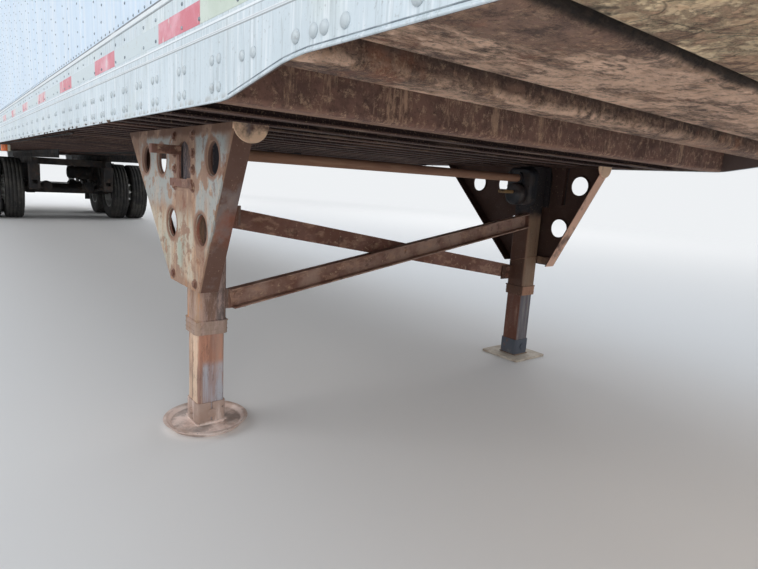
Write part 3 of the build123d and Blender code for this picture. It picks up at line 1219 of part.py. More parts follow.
# Air tank with its two straps, hung from the cross beam between the axles
with BuildPart() as air_tank:
    tank_x = BOGIE_MIDDLE + TANK_BEAM
    tank_z = BOGIE_BOTTOM - TANK_HANG - TANK_RADIUS
    with BuildSketch(Plane.XZ.offset(-TANK_SIDE_SHIFT - TANK_LENGTH / 2)):
        with Locations((tank_x, tank_z)):
            Circle(TANK_RADIUS)
    extrude(amount=TANK_LENGTH)
    fillet(air_tank.edges().filter_by(GeomType.CIRCLE), radius=TANK_CROWN)
    for strap_y in (
        TANK_SIDE_SHIFT - TANK_STRAP_SPACING / 2,
        TANK_SIDE_SHIFT + TANK_STRAP_SPACING / 2,
    ):
        with BuildSketch(Plane.XZ.offset(-strap_y - TANK_STRAP_WIDTH / 2)):
            with Locations((tank_x, tank_z)):
                Circle(TANK_RADIUS + TANK_STRAP_METAL)
            with Locations((tank_x, tank_z + (TANK_RADIUS + TANK_HANG) / 2)):
                Rectangle(BOGIE_BEAM_WIDTH, TANK_RADIUS + TANK_HANG)
        extrude(amount=TANK_STRAP_WIDTH)
keep(air_tank, "air_tank")

# Mud flaps on a bar across the back of the bogie
with BuildPart() as flaps:
    flap_x = BOGIE_REAR - FLAP_METAL
    for side_name, side in SIDES:
        with BuildSketch(Plane.YZ.offset(flap_x)):
            with Locations((side * (HALF - FLAP_WIDTH / 2 - FLAP_INSET), (FLAP_BOTTOM + BOGIE_BOTTOM) / 2)):
                Rectangle(FLAP_WIDTH, BOGIE_BOTTOM - FLAP_BOTTOM)
        extrude(amount=FLAP_METAL)
    with BuildSketch(Plane.YZ.offset(flap_x)):
        with Locations((0, BOGIE_BOTTOM + FLAP_BAR_HEIGHT / 2)):
            Rectangle(2 * (HALF - FLAP_INSET), FLAP_BAR_HEIGHT)
    extrude(amount=FLAP_METAL)
keep(flaps, "mud_flaps")

# Wheels: name, axle place and side
WHEELS = tuple(
    (f"{axle_name}_{side_name}", axle_x, side)
    for axle_name, axle_x in (("front", FRONT_AXLE_X), ("rear", REAR_AXLE_X))
    for side_name, side in SIDES
)


def wheel_plane(axle_x, side):
    """Plane through an axle's end: x runs outboard from the middle of the two tyres."""
    return Plane(
        origin=(axle_x, side * DUAL_CENTRE, TYRE_RADIUS),
        x_dir=(0, side, 0),
        z_dir=(side, 0, 0),
    )


for wheel_name, axle_x, side in WHEELS:
    spin = Axis((axle_x, 0, TYRE_RADIUS), (0, 1, 0))
    half = TYRE_WIDTH / 2
    with BuildPart() as tyres:
        for offset_y in (-DUAL_SPACING / 2, DUAL_SPACING / 2):
            with BuildSketch(wheel_plane(axle_x, side)):
                with BuildLine():
                    Polyline(
                        (offset_y - half + TREAD_SHOULDER, TYRE_RADIUS),
                        (offset_y + half - TREAD_SHOULDER, TYRE_RADIUS),
                        (offset_y + half - TYRE_SHOULDER_INSET, TYRE_RADIUS - TREAD_SHOULDER),
                        (offset_y + half, (TYRE_RADIUS + RIM_RADIUS) / 2),
                        (offset_y + half - BEAD_INSET, RIM_RADIUS),
                        (offset_y - half + BEAD_INSET, RIM_RADIUS),
                        (offset_y - half, (TYRE_RADIUS + RIM_RADIUS) / 2),
                        (offset_y - half + TYRE_SHOULDER_INSET, TYRE_RADIUS - TREAD_SHOULDER),
                        close=True,
                    )
                make_face()
            revolve(axis=spin)
    keep(tyres, f"tyres_{wheel_name}")

    rim_half = half - BEAD_INSET
    with BuildPart() as wheel:
        # Sections turned about the axle: outboard places and radii of each closed outline
        sections = [
            [
                (centre - rim_half, RIM_RADIUS - RIM_METAL),
                (centre + rim_half, RIM_RADIUS - RIM_METAL),
                (centre + rim_half, RIM_RADIUS),
                (centre - rim_half, RIM_RADIUS),
            ]
            for centre in (-DUAL_SPACING / 2, DUAL_SPACING / 2)
        ]
        for disc_side in (-1, 1):
            disc_far = disc_side * (DUAL_SPACING / 2 - DISC_DISH)
            sections.append(
                [
                    (0, HUB_RADIUS - DISC_INNER_MARGIN),
                    (disc_side * DISC_METAL, HUB_RADIUS - DISC_INNER_MARGIN),
                    (disc_side * DISC_METAL, DISC_FLAT_RADIUS),
                    (disc_far + disc_side * DISC_METAL, RIM_RADIUS - RIM_METAL / 2),
                    (disc_far, RIM_RADIUS - RIM_METAL / 2),
                    (0, DISC_FLAT_RADIUS + DISC_METAL),
                ]
            )
        sections.append(
            [
                (-HUB_REACH, SPINDLE_RADIUS + BEARING_GAP),
                (HUB_REACH - HUB_CAP + BEARING_GAP, SPINDLE_RADIUS + BEARING_GAP),
                (HUB_REACH - HUB_CAP + BEARING_GAP, 0),
                (HUB_REACH, 0),
                (HUB_REACH, HUB_CAP_RADIUS),
                (HUB_REACH - HUB_CAP, HUB_CAP_RADIUS),
                (DISC_METAL, HUB_RADIUS),
                (-DRUM_OFFSET, HUB_RADIUS),
                (-HUB_REACH, HUB_CAP_RADIUS),
            ]
        )
        sections.append(
            [
                (-DRUM_OFFSET - DRUM_METAL, HUB_RADIUS - DISC_INNER_MARGIN),
                (-DRUM_OFFSET, HUB_RADIUS - DISC_INNER_MARGIN),
                (-DRUM_OFFSET, DRUM_RADIUS),
                (-DRUM_OFFSET - DRUM_WIDTH, DRUM_RADIUS),
                (-DRUM_OFFSET - DRUM_WIDTH, DRUM_RADIUS - DRUM_METAL),
                (-DRUM_OFFSET - DRUM_METAL, DRUM_RADIUS - DRUM_METAL),
            ]
        )
        for section in sections:
            with BuildSketch(wheel_plane(axle_x, side)):
                with BuildLine():
                    Polyline(*section, close=True)
                make_face()
            revolve(axis=spin)
        hole_plane = Plane(
            origin=(axle_x, side * (DUAL_CENTRE - DUAL_SPACING / 2), TYRE_RADIUS),
            x_dir=(1, 0, 0),
            z_dir=(0, side, 0),
        )
        with BuildSketch(hole_plane):
            with PolarLocations(HAND_HOLE_CIRCLE, HAND_HOLE_COUNT):
                Circle(HAND_HOLE_RADIUS)
        extrude(amount=DUAL_SPACING, mode=Mode.SUBTRACT)
    keep(wheel, f"wheel_{wheel_name}")

# Amber lamps: one hung under each rail on a small plate, and those on the nose's top corners
with BuildPart() as lamps:
    for side_name, side in SIDES:
        with BuildSketch(Plane.XY.offset(RAIL_BOTTOM)):
            with Locations((LEG_X - LAMP_TO_LEGS, side * (HALF - LAMP_SETBACK))):
                SlotOverall(LAMP_LENGTH, LAMP_WIDTH)
        extrude(amount=-LAMP_HEIGHT)
        with BuildSketch(Plane.XY.offset(RAIL_BOTTOM)):
            with Locations((LEG_X - LAMP_TO_LEGS, side * (HALF - LAMP_SETBACK / 2))):
                Rectangle(LAMP_WIDTH, LAMP_SETBACK)
        extrude(amount=-LAMP_PLATE_METAL)
        with BuildSketch(Plane.YZ.offset(NOSE)):
            with Locations((side * NOSE_LAMP_Y, BODY_HEIGHT - TOP_RAIL_HEIGHT / 2)):
                RectangleRounded(*EDGE_LAMP, EDGE_LAMP_ROUNDING)
        extrude(amount=EDGE_LAMP_PROUD)
        with BuildSketch(Plane.XZ.offset(-side * WALL_OUTER)):
            with Locations((CORNER_X - SIDE_LAMP_SETBACK, BODY_HEIGHT - TOP_RAIL_HEIGHT / 2)):
                RectangleRounded(*EDGE_LAMP, EDGE_LAMP_ROUNDING)
        extrude(amount=-side * EDGE_LAMP_PROUD)
keep(lamps, "marker_lamps")

# Red lamps: stop lamps on the sill, edge lamps on the header, and one under each rail's rear end
with BuildPart() as rear_lamps:
    header_z = BODY_HEIGHT - REAR_HEADER_HEIGHT / 2
    with BuildSketch(Plane.YZ.offset(REAR)):
        for side_name, side in SIDES:
            for place in STOP_LAMP_PLACES:
                with Locations((side * place, (FLOOR_TOP + RAIL_BOTTOM - REAR_SILL_DROP) / 2)):
                    Circle(STOP_LAMP_RADIUS)
            with Locations((side * CLEARANCE_LAMP_Y, header_z)):
                RectangleRounded(*EDGE_LAMP, EDGE_LAMP_ROUNDING)
        with Locations((0, header_z)):
            with GridLocations(HEADER_LAMP_PITCH, 0, 3, 1):
                RectangleRounded(*EDGE_LAMP, EDGE_LAMP_ROUNDING)
    extrude(amount=-EDGE_LAMP_PROUD)
    for side_name, side in SIDES:
        lamp_x = REAR + REAR_LAMP_SETBACK
        with BuildSketch(Plane.XY.offset(RAIL_BOTTOM)):
            with Locations((lamp_x, side * (HALF - LAMP_SETBACK))):
                SlotOverall(LAMP_LENGTH, LAMP_WIDTH)
        extrude(amount=-LAMP_HEIGHT)
        with BuildSketch(Plane.XY.offset(RAIL_BOTTOM)):
            with Locations((lamp_x, side * (HALF - LAMP_SETBACK / 2))):
                Rectangle(LAMP_WIDTH, LAMP_SETBACK)
        extrude(amount=-LAMP_PLATE_METAL)
keep(rear_lamps, "rear_lamps")
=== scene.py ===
"""Looks of a box semi trailer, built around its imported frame."""

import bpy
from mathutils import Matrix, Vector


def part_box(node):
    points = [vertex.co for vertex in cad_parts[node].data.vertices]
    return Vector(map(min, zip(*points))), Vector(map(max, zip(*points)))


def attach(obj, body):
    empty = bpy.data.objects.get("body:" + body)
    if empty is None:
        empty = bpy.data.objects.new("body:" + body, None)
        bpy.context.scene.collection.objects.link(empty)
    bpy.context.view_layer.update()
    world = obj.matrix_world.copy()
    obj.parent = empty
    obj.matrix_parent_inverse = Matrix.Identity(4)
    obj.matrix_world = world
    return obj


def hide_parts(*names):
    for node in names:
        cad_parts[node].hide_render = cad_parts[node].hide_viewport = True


bl_info = {
    "name": "Box Semi Trailer Looks",
    "version": (1, 0, 0),
    "blender": (4, 5, 0),
    "location": "3D View > Sidebar > Trailer",
    "description": "Dresses a parked box semi trailer with its fasteners, tape, tyres and weathered finishes",
    "category": "Object",
}

import math
import random
from collections import namedtuple
from functools import partial

import bmesh
import bpy
from mathutils import Matrix, Vector

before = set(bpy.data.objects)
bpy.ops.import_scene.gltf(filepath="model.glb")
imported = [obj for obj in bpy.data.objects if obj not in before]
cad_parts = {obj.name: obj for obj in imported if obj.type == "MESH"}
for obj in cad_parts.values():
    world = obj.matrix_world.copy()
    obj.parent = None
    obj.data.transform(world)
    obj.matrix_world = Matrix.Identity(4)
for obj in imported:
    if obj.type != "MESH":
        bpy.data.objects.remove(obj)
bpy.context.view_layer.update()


def middle(node):
    """Middle of a CAD node's box."""
    low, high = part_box(node)
    return (low + high) / 2


# Places read from the frame, in metres
LEG_X = middle("foot_left").x
LEG_Y = middle("foot_left").y
RAIL_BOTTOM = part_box("bottom_rail_left")[0].z
RAIL_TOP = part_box("bottom_rail_left")[1].z
BODY_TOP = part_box("rear_frame")[1].z
BODY_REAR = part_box("rear_frame")[1].x - 0.09
BODY_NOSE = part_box("nose_wall")[1].x
FRAME_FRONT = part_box("side_wall_left")[0].x
CORNER_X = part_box("side_wall_left")[1].x
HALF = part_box("rear_lamps")[1].y
WALL_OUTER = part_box("side_wall_left")[1].y
WALL_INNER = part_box("side_wall_left")[0].y
FLOOR_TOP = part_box("floor")[1].z
ROOF_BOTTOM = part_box("roof")[0].z
ROOF_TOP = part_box("roof")[1].z
WING_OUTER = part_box("wing_plates")[1].y
DOOR_IN_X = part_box("door_left")[1].x
DOOR_OUT_X = DOOR_IN_X - 0.04
DOOR_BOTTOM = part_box("door_left")[0].z
DOOR_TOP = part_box("door_left")[1].z
DOOR_EDGE = HALF - 0.113
GUARD_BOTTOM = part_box("underride_guard")[0].z
BOGIE_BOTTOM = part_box("mud_flaps")[1].z - 0.09
FLAP_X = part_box("mud_flaps")[0].x
BOX_FACE_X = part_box("nose_box")[1].x
BOX_Z = middle("nose_box").z
TYRE_RADIUS = middle("tyres_front_left").z
DUAL_CENTRE = middle("tyres_front_left").y
AXLES = {
    "front": middle("tyres_front_left").x,
    "rear": middle("tyres_rear_left").x,
}
SIDES = {"left": 1, "right": -1}
TWIN_OFF = 0.165
BACK = (-1.0, 0.0, 0.0)
AHEAD = (1.0, 0.0, 0.0)


# Sizes and colours that a user may change

class TrailerSizes(bpy.types.PropertyGroup):
    """Sizes of the fasteners, wall posts and tape."""

    rivet_radius: bpy.props.FloatProperty(
        name="Rivet radius",
        description="Radius of the small wall and tape band rivets",
        default=0.0052,
        unit="LENGTH",
    )
    bolt_radius: bpy.props.FloatProperty(
        name="Bolt head radius",
        description="Radius of the domed bolt heads along the bottom rails",
        default=0.0115,
        unit="LENGTH",
    )
    nose_bolt_radius: bpy.props.FloatProperty(
        name="Nose bolt head radius",
        description="Radius of the larger domed heads beside the coupler plate",
        default=0.0125,
        unit="LENGTH",
    )
    wall_rivet_pitch: bpy.props.FloatProperty(
        name="Wall rivet pitch",
        description="Upright distance between the rivets of one wall post row",
        default=0.055,
        unit="LENGTH",
    )
    post_pitch: bpy.props.FloatProperty(
        name="Wall post pitch",
        description="Distance between the wall's upright posts",
        default=0.325,
        unit="LENGTH",
    )
    tape_height: bpy.props.FloatProperty(
        name="Tape height",
        description="Width of the marking tape",
        default=0.0508,
        unit="LENGTH",
    )
    tape_red: bpy.props.FloatProperty(
        name="Red tape length",
        description="Length of each red stretch of the marking tape",
        default=0.305,
        unit="LENGTH",
    )
    tape_period: bpy.props.FloatProperty(
        name="Tape period",
        description="Distance from one red stretch to the next",
        default=0.787,
        unit="LENGTH",
    )


class TrailerColours(bpy.types.PropertyGroup):
    """Colours of the main finishes."""

    rail: bpy.props.FloatVectorProperty(
        name="Rail",
        description="Chalky paint of the rails and posts",
        subtype="COLOR",
        size=3,
        min=0.0,
        max=1.0,
        default=(0.84, 0.885, 0.91),
    )
    wall: bpy.props.FloatVectorProperty(
        name="Wall",
        description="Chalky paint of the walls and doors",
        subtype="COLOR",
        size=3,
        min=0.0,
        max=1.0,
        default=(0.84, 0.905, 0.965),
    )
    tape: bpy.props.FloatVectorProperty(
        name="Red tape",
        description="Faded red of the marking tape",
        subtype="COLOR",
        size=3,
        min=0.0,
        max=1.0,
        default=(0.83, 0.43, 0.49),
    )
    lens: bpy.props.FloatVectorProperty(
        name="Amber lens",
        description="Colour of the side lamps",
        subtype="COLOR",
        size=3,
        min=0.0,
        max=1.0,
        default=(0.90, 0.42, 0.06),
    )


def sizes():
    """The sizes set in the panel."""
    return bpy.context.scene.trailer_sizes


def colours():
    """The colours set in the panel."""
    return bpy.context.scene.trailer_colours


# Finishes

EVEN = (1.0, 1.0, 1.0)
RUNS = (1.0, 1.0, 0.05)
DRIPS = (1.0, 1.0, 0.22)
ACROSS = (1.0, 0.12, 1.0)

# A layer laid over a finish: its pattern, its colour, the pattern's scale per metre, where the pattern
# starts and is full, how strong it is, its relief in metres, the zones that hold it, how ragged their
# edges are in metres, and the pattern's stretch along x, y and z. A zone is an axis, where the layer is
# missing and where it is full.
Layer = namedtuple(
    "Layer",
    "pattern colour scale start full strength relief zones ragged stretch",
    defaults=(0.0, (), 0.0, EVEN),
)
patches = partial(Layer, "patches")
specks = partial(Layer, "specks")
stipple = partial(Layer, "stipple")

# Wing plate holes: place ahead of the legs and height, in metres
WING_HOLES = ((-0.475, 1.044), (-0.258, 1.044), (0.275, 1.053), (-0.140, 0.803), (0.172, 0.805))
HOLE_RADIUS = 0.052

# The wing plates' front edge: place ahead of the legs at the rail's foot, and its lean
WING_EDGE = 0.445
WING_LEAN = 0.495


def linear(colour):
    """A screen colour as the renderer's linear values."""
    return [c / 12.92 if c <= 0.04045 else ((c + 0.055) / 1.055) ** 2.4 for c in colour] + [1.0]


class NodeMaker:
    """Adds nodes to a tree."""

    def __init__(self, tree):
        self.tree = tree

    def add(self, kind, inputs=(), **settings):
        """A node with its settings, and its inputs as values or links."""
        node = self.tree.nodes.new(kind)
        for key, value in settings.items():
            setattr(node, key, value)
        for key, value in dict(inputs).items():
            if isinstance(value, bpy.types.NodeSocket):
                self.tree.links.new(value, node.inputs[key])
            else:
                node.inputs[key].default_value = value
        return node

    def math(self, operation, first, second=0.0):
        """One sum of two values or sockets."""
        return self.add("ShaderNodeMath", {0: first, 1: second}, operation=operation).outputs[0]

    def seen_rays(self):
        """1 for a ray from the camera, or one that a mirrorlike or clear surface sends on."""
        path = self.add("ShaderNodeLightPath").outputs
        sent_on = self.math("ADD", path["Is Glossy Ray"], path["Is Transmission Ray"])
        return self.math("ADD", path["Is Camera Ray"], sent_on)


class Mixer(NodeMaker):
    """Builds one finish's nodes."""

    def __init__(self, name):
        self.material = bpy.data.materials.new(name)
        self.material.use_nodes = True
        super().__init__(self.material.node_tree)
        self.shader = self.tree.nodes["Principled BSDF"]
        self.place = self.add("ShaderNodeTexCoord").outputs["Object"]
        self.parts = self.add("ShaderNodeSeparateXYZ", {0: self.place}).outputs
        self.x, self.y, self.z = self.parts[0], self.parts[1], self.parts[2]
        self.known = {}

    def between(self, value, start, full, low=0.0, high=1.0):
        """A value brought from its start and full marks to a range."""
        span = {"Value": value, "From Min": start, "From Max": full, "To Min": low, "To Max": high}
        return self.add("ShaderNodeMapRange", span, interpolation_type="SMOOTHSTEP").outputs[0]

    def ahead(self):
        """How far a place is ahead of the legs."""
        return self.math("SUBTRACT", self.x, LEG_X)

    def slant(self):
        """How far a place is ahead of the wing plates' front edge."""
        lean = self.math("MULTIPLY", self.math("SUBTRACT", self.z, RAIL_BOTTOM), WING_LEAN)
        return self.math("SUBTRACT", self.math("SUBTRACT", self.x, LEG_X + WING_EDGE), lean)

    def aside(self):
        """How far a place is from the trailer's middle plane, on either side."""
        return self.math("ABSOLUTE", self.y)

    def across(self):
        """How far a place is to the road side."""
        return self.y

    def up(self):
        """How far a place is above the ground."""
        return self.z

    def rims(self):
        """How far a place is from the middle of the nearest wing plate hole."""
        nearest = 9.0
        for hole_x, hole_z in WING_HOLES:
            off_x = self.math("POWER", self.math("SUBTRACT", self.x, LEG_X + hole_x), 2.0)
            off_z = self.math("POWER", self.math("SUBTRACT", self.z, hole_z), 2.0)
            away = self.math("SQRT", self.math("ADD", off_x, off_z))
            nearest = self.math("MINIMUM", away, nearest)
        return nearest

    def reach(self, axis):
        """The distance that an axis names, made once."""
        if axis not in self.known:
            self.known[axis] = getattr(self, axis)()
        return self.known[axis]

    def wander(self, ragged):
        """A slow change of up to the given length, either way."""
        if ragged not in self.known:
            slow = self.math("SUBTRACT", self.pattern("patches", 9.0), 0.5)
            self.known[ragged] = self.math("MULTIPLY", slow, 2.0 * ragged)
        return self.known[ragged]

    def pattern(self, kind, scale, stretch=EVEN):
        """A pattern's value at the place."""
        vector = self.add("ShaderNodeMapping", {"Vector": self.place, "Scale": stretch}).outputs[0]
        if kind == "cells":
            return self.add("ShaderNodeTexVoronoi", {"Vector": vector, "Scale": scale}).outputs["Distance"]
        if kind == "cracks":
            warp = self.add("ShaderNodeTexNoise", {"Vector": vector, "Scale": scale * 1.7}).outputs["Color"]
            shift = {0: warp, 1: (0.9 / scale,) * 3, 2: vector}
            bent = self.add("ShaderNodeVectorMath", shift, operation="MULTIPLY_ADD").outputs[0]
            cells = {"Vector": bent, "Scale": scale}
            return self.add("ShaderNodeTexVoronoi", cells, feature="DISTANCE_TO_EDGE").outputs["Distance"]
        detail, rough = {"patches": (8.0, 0.62), "specks": (3.0, 0.5), "stipple": (11.0, 0.82)}[kind]
        inputs = {"Vector": vector, "Scale": scale, "Detail": detail, "Roughness": rough}
        return self.add("ShaderNodeTexNoise", inputs).outputs[0]

    def spread(self, scale, start, full, most=1.0, stretch=EVEN):
        """The share of the surface that patches cover."""
        return self.between(self.pattern("patches", scale, stretch), start, full, 0.0, most)

    def blend(self, share, below, above):
        """Two colours mixed by a share, each a screen colour or a socket."""
        below, above = [linear(c) if isinstance(c, tuple) else c for c in (below, above)]
        inputs = {0: share, 6: below, 7: above}
        return self.add("ShaderNodeMix", inputs, data_type="RGBA", clamp_factor=True).outputs[2]

    def pile(self, height, rise):
        """A height with a rise on top."""
        return rise if height is None else self.math("ADD", height, rise)

    def close(self, colour, rough, height=None, strength=1.0, coat=0.0, metal=0.0):
        """Ends the finish with its colour, its range of roughness and its relief."""
        inputs = self.shader.inputs
        self.tree.links.new(colour, inputs["Base Color"])
        if height is not None:
            bump = self.add("ShaderNodeBump", {"Height": height, "Distance": 1.0, "Strength": strength})
            self.tree.links.new(bump.outputs[0], inputs["Normal"])
        low, high = rough
        if low == high:
            inputs["Roughness"].default_value = low
        else:
            varied = self.between(self.pattern("patches", 9.0), 0.35, 0.65, low, high)
            self.tree.links.new(varied, inputs["Roughness"])
        inputs["Metallic"].default_value = metal
        inputs["Coat Weight"].default_value = coat
        return self.material


def finish(name, base, rough, grain, *layers, grain_scale=300.0, metal=0.0):
    """A weathered finish: a base colour under layers of dirt, rust and wear, and on some finishes painted
    light and shade.
    """
    mixer = Mixer(name)
    colour = base
    height = None
    for layer in layers:
        share = layer.strength
        if layer.pattern != "even":
            value = mixer.pattern(layer.pattern, layer.scale, layer.stretch)
            share = mixer.math("MULTIPLY", mixer.between(value, layer.start, layer.full), share)
        for axis, missing, full in layer.zones:
            spot = mixer.reach(axis)
            if layer.ragged:
                spot = mixer.math("ADD", spot, mixer.wander(layer.ragged))
            share = mixer.math("MULTIPLY", share, mixer.between(spot, missing, full))
        colour = mixer.blend(share, colour, layer.colour)
        if layer.relief:
            height = mixer.pile(height, mixer.math("MULTIPLY", share, layer.relief))
    if grain:
        fine = mixer.math("MULTIPLY", mixer.pattern("specks", grain_scale), grain)
        height = mixer.pile(height, fine)
    return mixer.close(colour, rough, height, metal=metal)


GRIME = (0.42, 0.40, 0.37)
DUST = (0.64, 0.58, 0.50)
DARK = (0.13, 0.11, 0.10)
ORANGE = (0.68, 0.46, 0.31)
RED_RUST = (0.46, 0.26, 0.18)
FLECK = (0.66, 0.57, 0.48)
PALE_PAINT = (0.655, 0.67, 0.655)
CREAM_PAINT = (0.79, 0.765, 0.69)
BLACK_PAINT = (0.115, 0.12, 0.145)
CHALK = (0.96, 0.975, 0.985)

# Waves per metre, times two pi, of the lenses' ribs, and width of one strip of the floor boards
LENS_RIBS = 900.0
BOARD_STRIP = 0.032

# Zones that several finishes share
CURB = ("across", 0.2, -0.2)
ROAD = ("across", -0.2, 0.2)
OUTER_FACE = ("aside", 1.070, 1.0735)
INNER_FACE = ("aside", 1.0695, 1.0665)
FRONT_FLANGE = ("aside", 1.0735, 1.0695)


def line_zone(axis, low, high, soft=0.0015):
    """Zones that hold a thin line between two marks."""
    return ((axis, low - soft, low), (axis, high + soft, high))


def plain(colour, strength, zones, ragged=0.0):
    """A layer with no pattern, which its zones alone hold."""
    return Layer("even", colour, 1.0, 0.0, 1.0, strength, zones=zones, ragged=ragged)


def on(face, *layers):
    """Layers that one zone holds, beside their own."""
    return [layer._replace(zones=(face, *layer.zones)) for layer in layers]


def rail_line(colour, strength, low, high):
    """A thin line along the rails, between two heights above their edge."""
    zones = line_zone("up", RAIL_BOTTOM + low, RAIL_BOTTOM + high)
    return patches(colour, 5.0, 0.2, 0.4, strength, zones=zones)


def pale_finishes():
    """Finishes of the rails, walls, posts and doors."""
    rail = tuple(colours().rail)
    wall = tuple(colours().wall)
    rail_layers = [
        patches((0.77, 0.815, 0.835), 2.2, 0.35, 0.7, 0.6),
        patches((0.85, 0.865, 0.80), 3.1, 0.5, 0.72, 0.35),
        patches(CHALK, 75.0, 0.48, 0.66, 0.5, stretch=RUNS),
        patches((0.69, 0.73, 0.745), 120.0, 0.50, 0.66, 0.5, stretch=RUNS),
        patches((0.66, 0.69, 0.70), 40.0, 0.58, 0.72, 0.45, stretch=DRIPS),
        specks((0.62, 0.64, 0.64), 130.0, 0.62, 0.74, 0.45),
    ]
    # Grey of the painted shadow lines along the rails' ridge
    ridge_shadow_line = (0.50, 0.52, 0.53)
    rail_lines = [
        # The ridge's light and shade are painted: each grey line is painted shadow under a ridge edge, and
        # each chalk line just above it is a painted highlight
        rail_line(ridge_shadow_line, 0.75, 0.1375, 0.1395),
        rail_line(CHALK, 0.8, 0.1405, 0.1435),
        rail_line(ridge_shadow_line, 0.55, 0.1605, 0.162),
        rail_line(CHALK, 0.8, 0.1632, 0.1662),
        rail_line((0.42, 0.43, 0.44), 0.8, RAIL_TOP - RAIL_BOTTOM - 0.0205, RAIL_TOP - RAIL_BOTTOM - 0.0185),
        patches(
            (0.36, 0.27, 0.24), 6.0, 0.15, 0.35, 0.95, 0.0006,
            zones=(("aside", HALF - 0.003, HALF - 0.005), ("up", RAIL_TOP + 0.01, RAIL_TOP - 0.01)),
        ),
        patches(
            (0.55, 0.50, 0.43), 30.0, 0.42, 0.6, 0.6,
            zones=(("up", RAIL_BOTTOM + 0.02, RAIL_BOTTOM),), ragged=0.01,
        ),
        plain((0.93, 0.945, 0.95), 0.8, (("up", RAIL_TOP - 0.017, RAIL_TOP - 0.0155),)),
        rail_line((0.36, 0.38, 0.41), 0.9, RAIL_TOP - RAIL_BOTTOM - 0.004, RAIL_TOP - RAIL_BOTTOM + 0.001),
    ]
    wall_layers = [
        patches((0.80, 0.87, 0.935), 1.1, 0.38, 0.64, 0.5),
        patches((0.93, 0.955, 0.975), 30.0, 0.42, 0.66, 0.7, stretch=RUNS),
        patches((0.76, 0.83, 0.90), 60.0, 0.50, 0.68, 0.6, stretch=RUNS),
        patches((0.70, 0.75, 0.79), 11.0, 0.62, 0.76, 0.35, stretch=RUNS),
    ]
    foot_line = line_zone("up", RAIL_TOP + 0.001, RAIL_TOP + 0.0035)
    wall_lines = [patches((0.42, 0.45, 0.48), 5.0, 0.2, 0.4, 0.75, zones=foot_line)]
    return {
        "walls": finish("chalky wall sheet", wall, (0.42, 0.62), 0.00012, *wall_layers, *wall_lines),
        "rail": finish("chalky rail", rail, (0.45, 0.65), 0.0002, *rail_layers, *rail_lines),
        "posts": finish("chalky corner post", rail, (0.42, 0.6), 0.0002, *rail_layers),
        "door": finish("pale door panel", wall, (0.4, 0.55), 0.0001, *wall_layers),
        "rivet": finish(
            "dull rivet", (0.50, 0.54, 0.57), (0.5, 0.7), 0.0,
            specks((0.66, 0.70, 0.72), 30.0, 0.45, 0.6, 0.7),
            metal=0.3,
        ),
        "bolt": finish(
            "pale bolt head", (0.75, 0.785, 0.80), (0.42, 0.6), 0.0,
            patches((0.60, 0.61, 0.61), 60.0, 0.52, 0.68, 0.6),
            metal=0.1,
        ),
    }


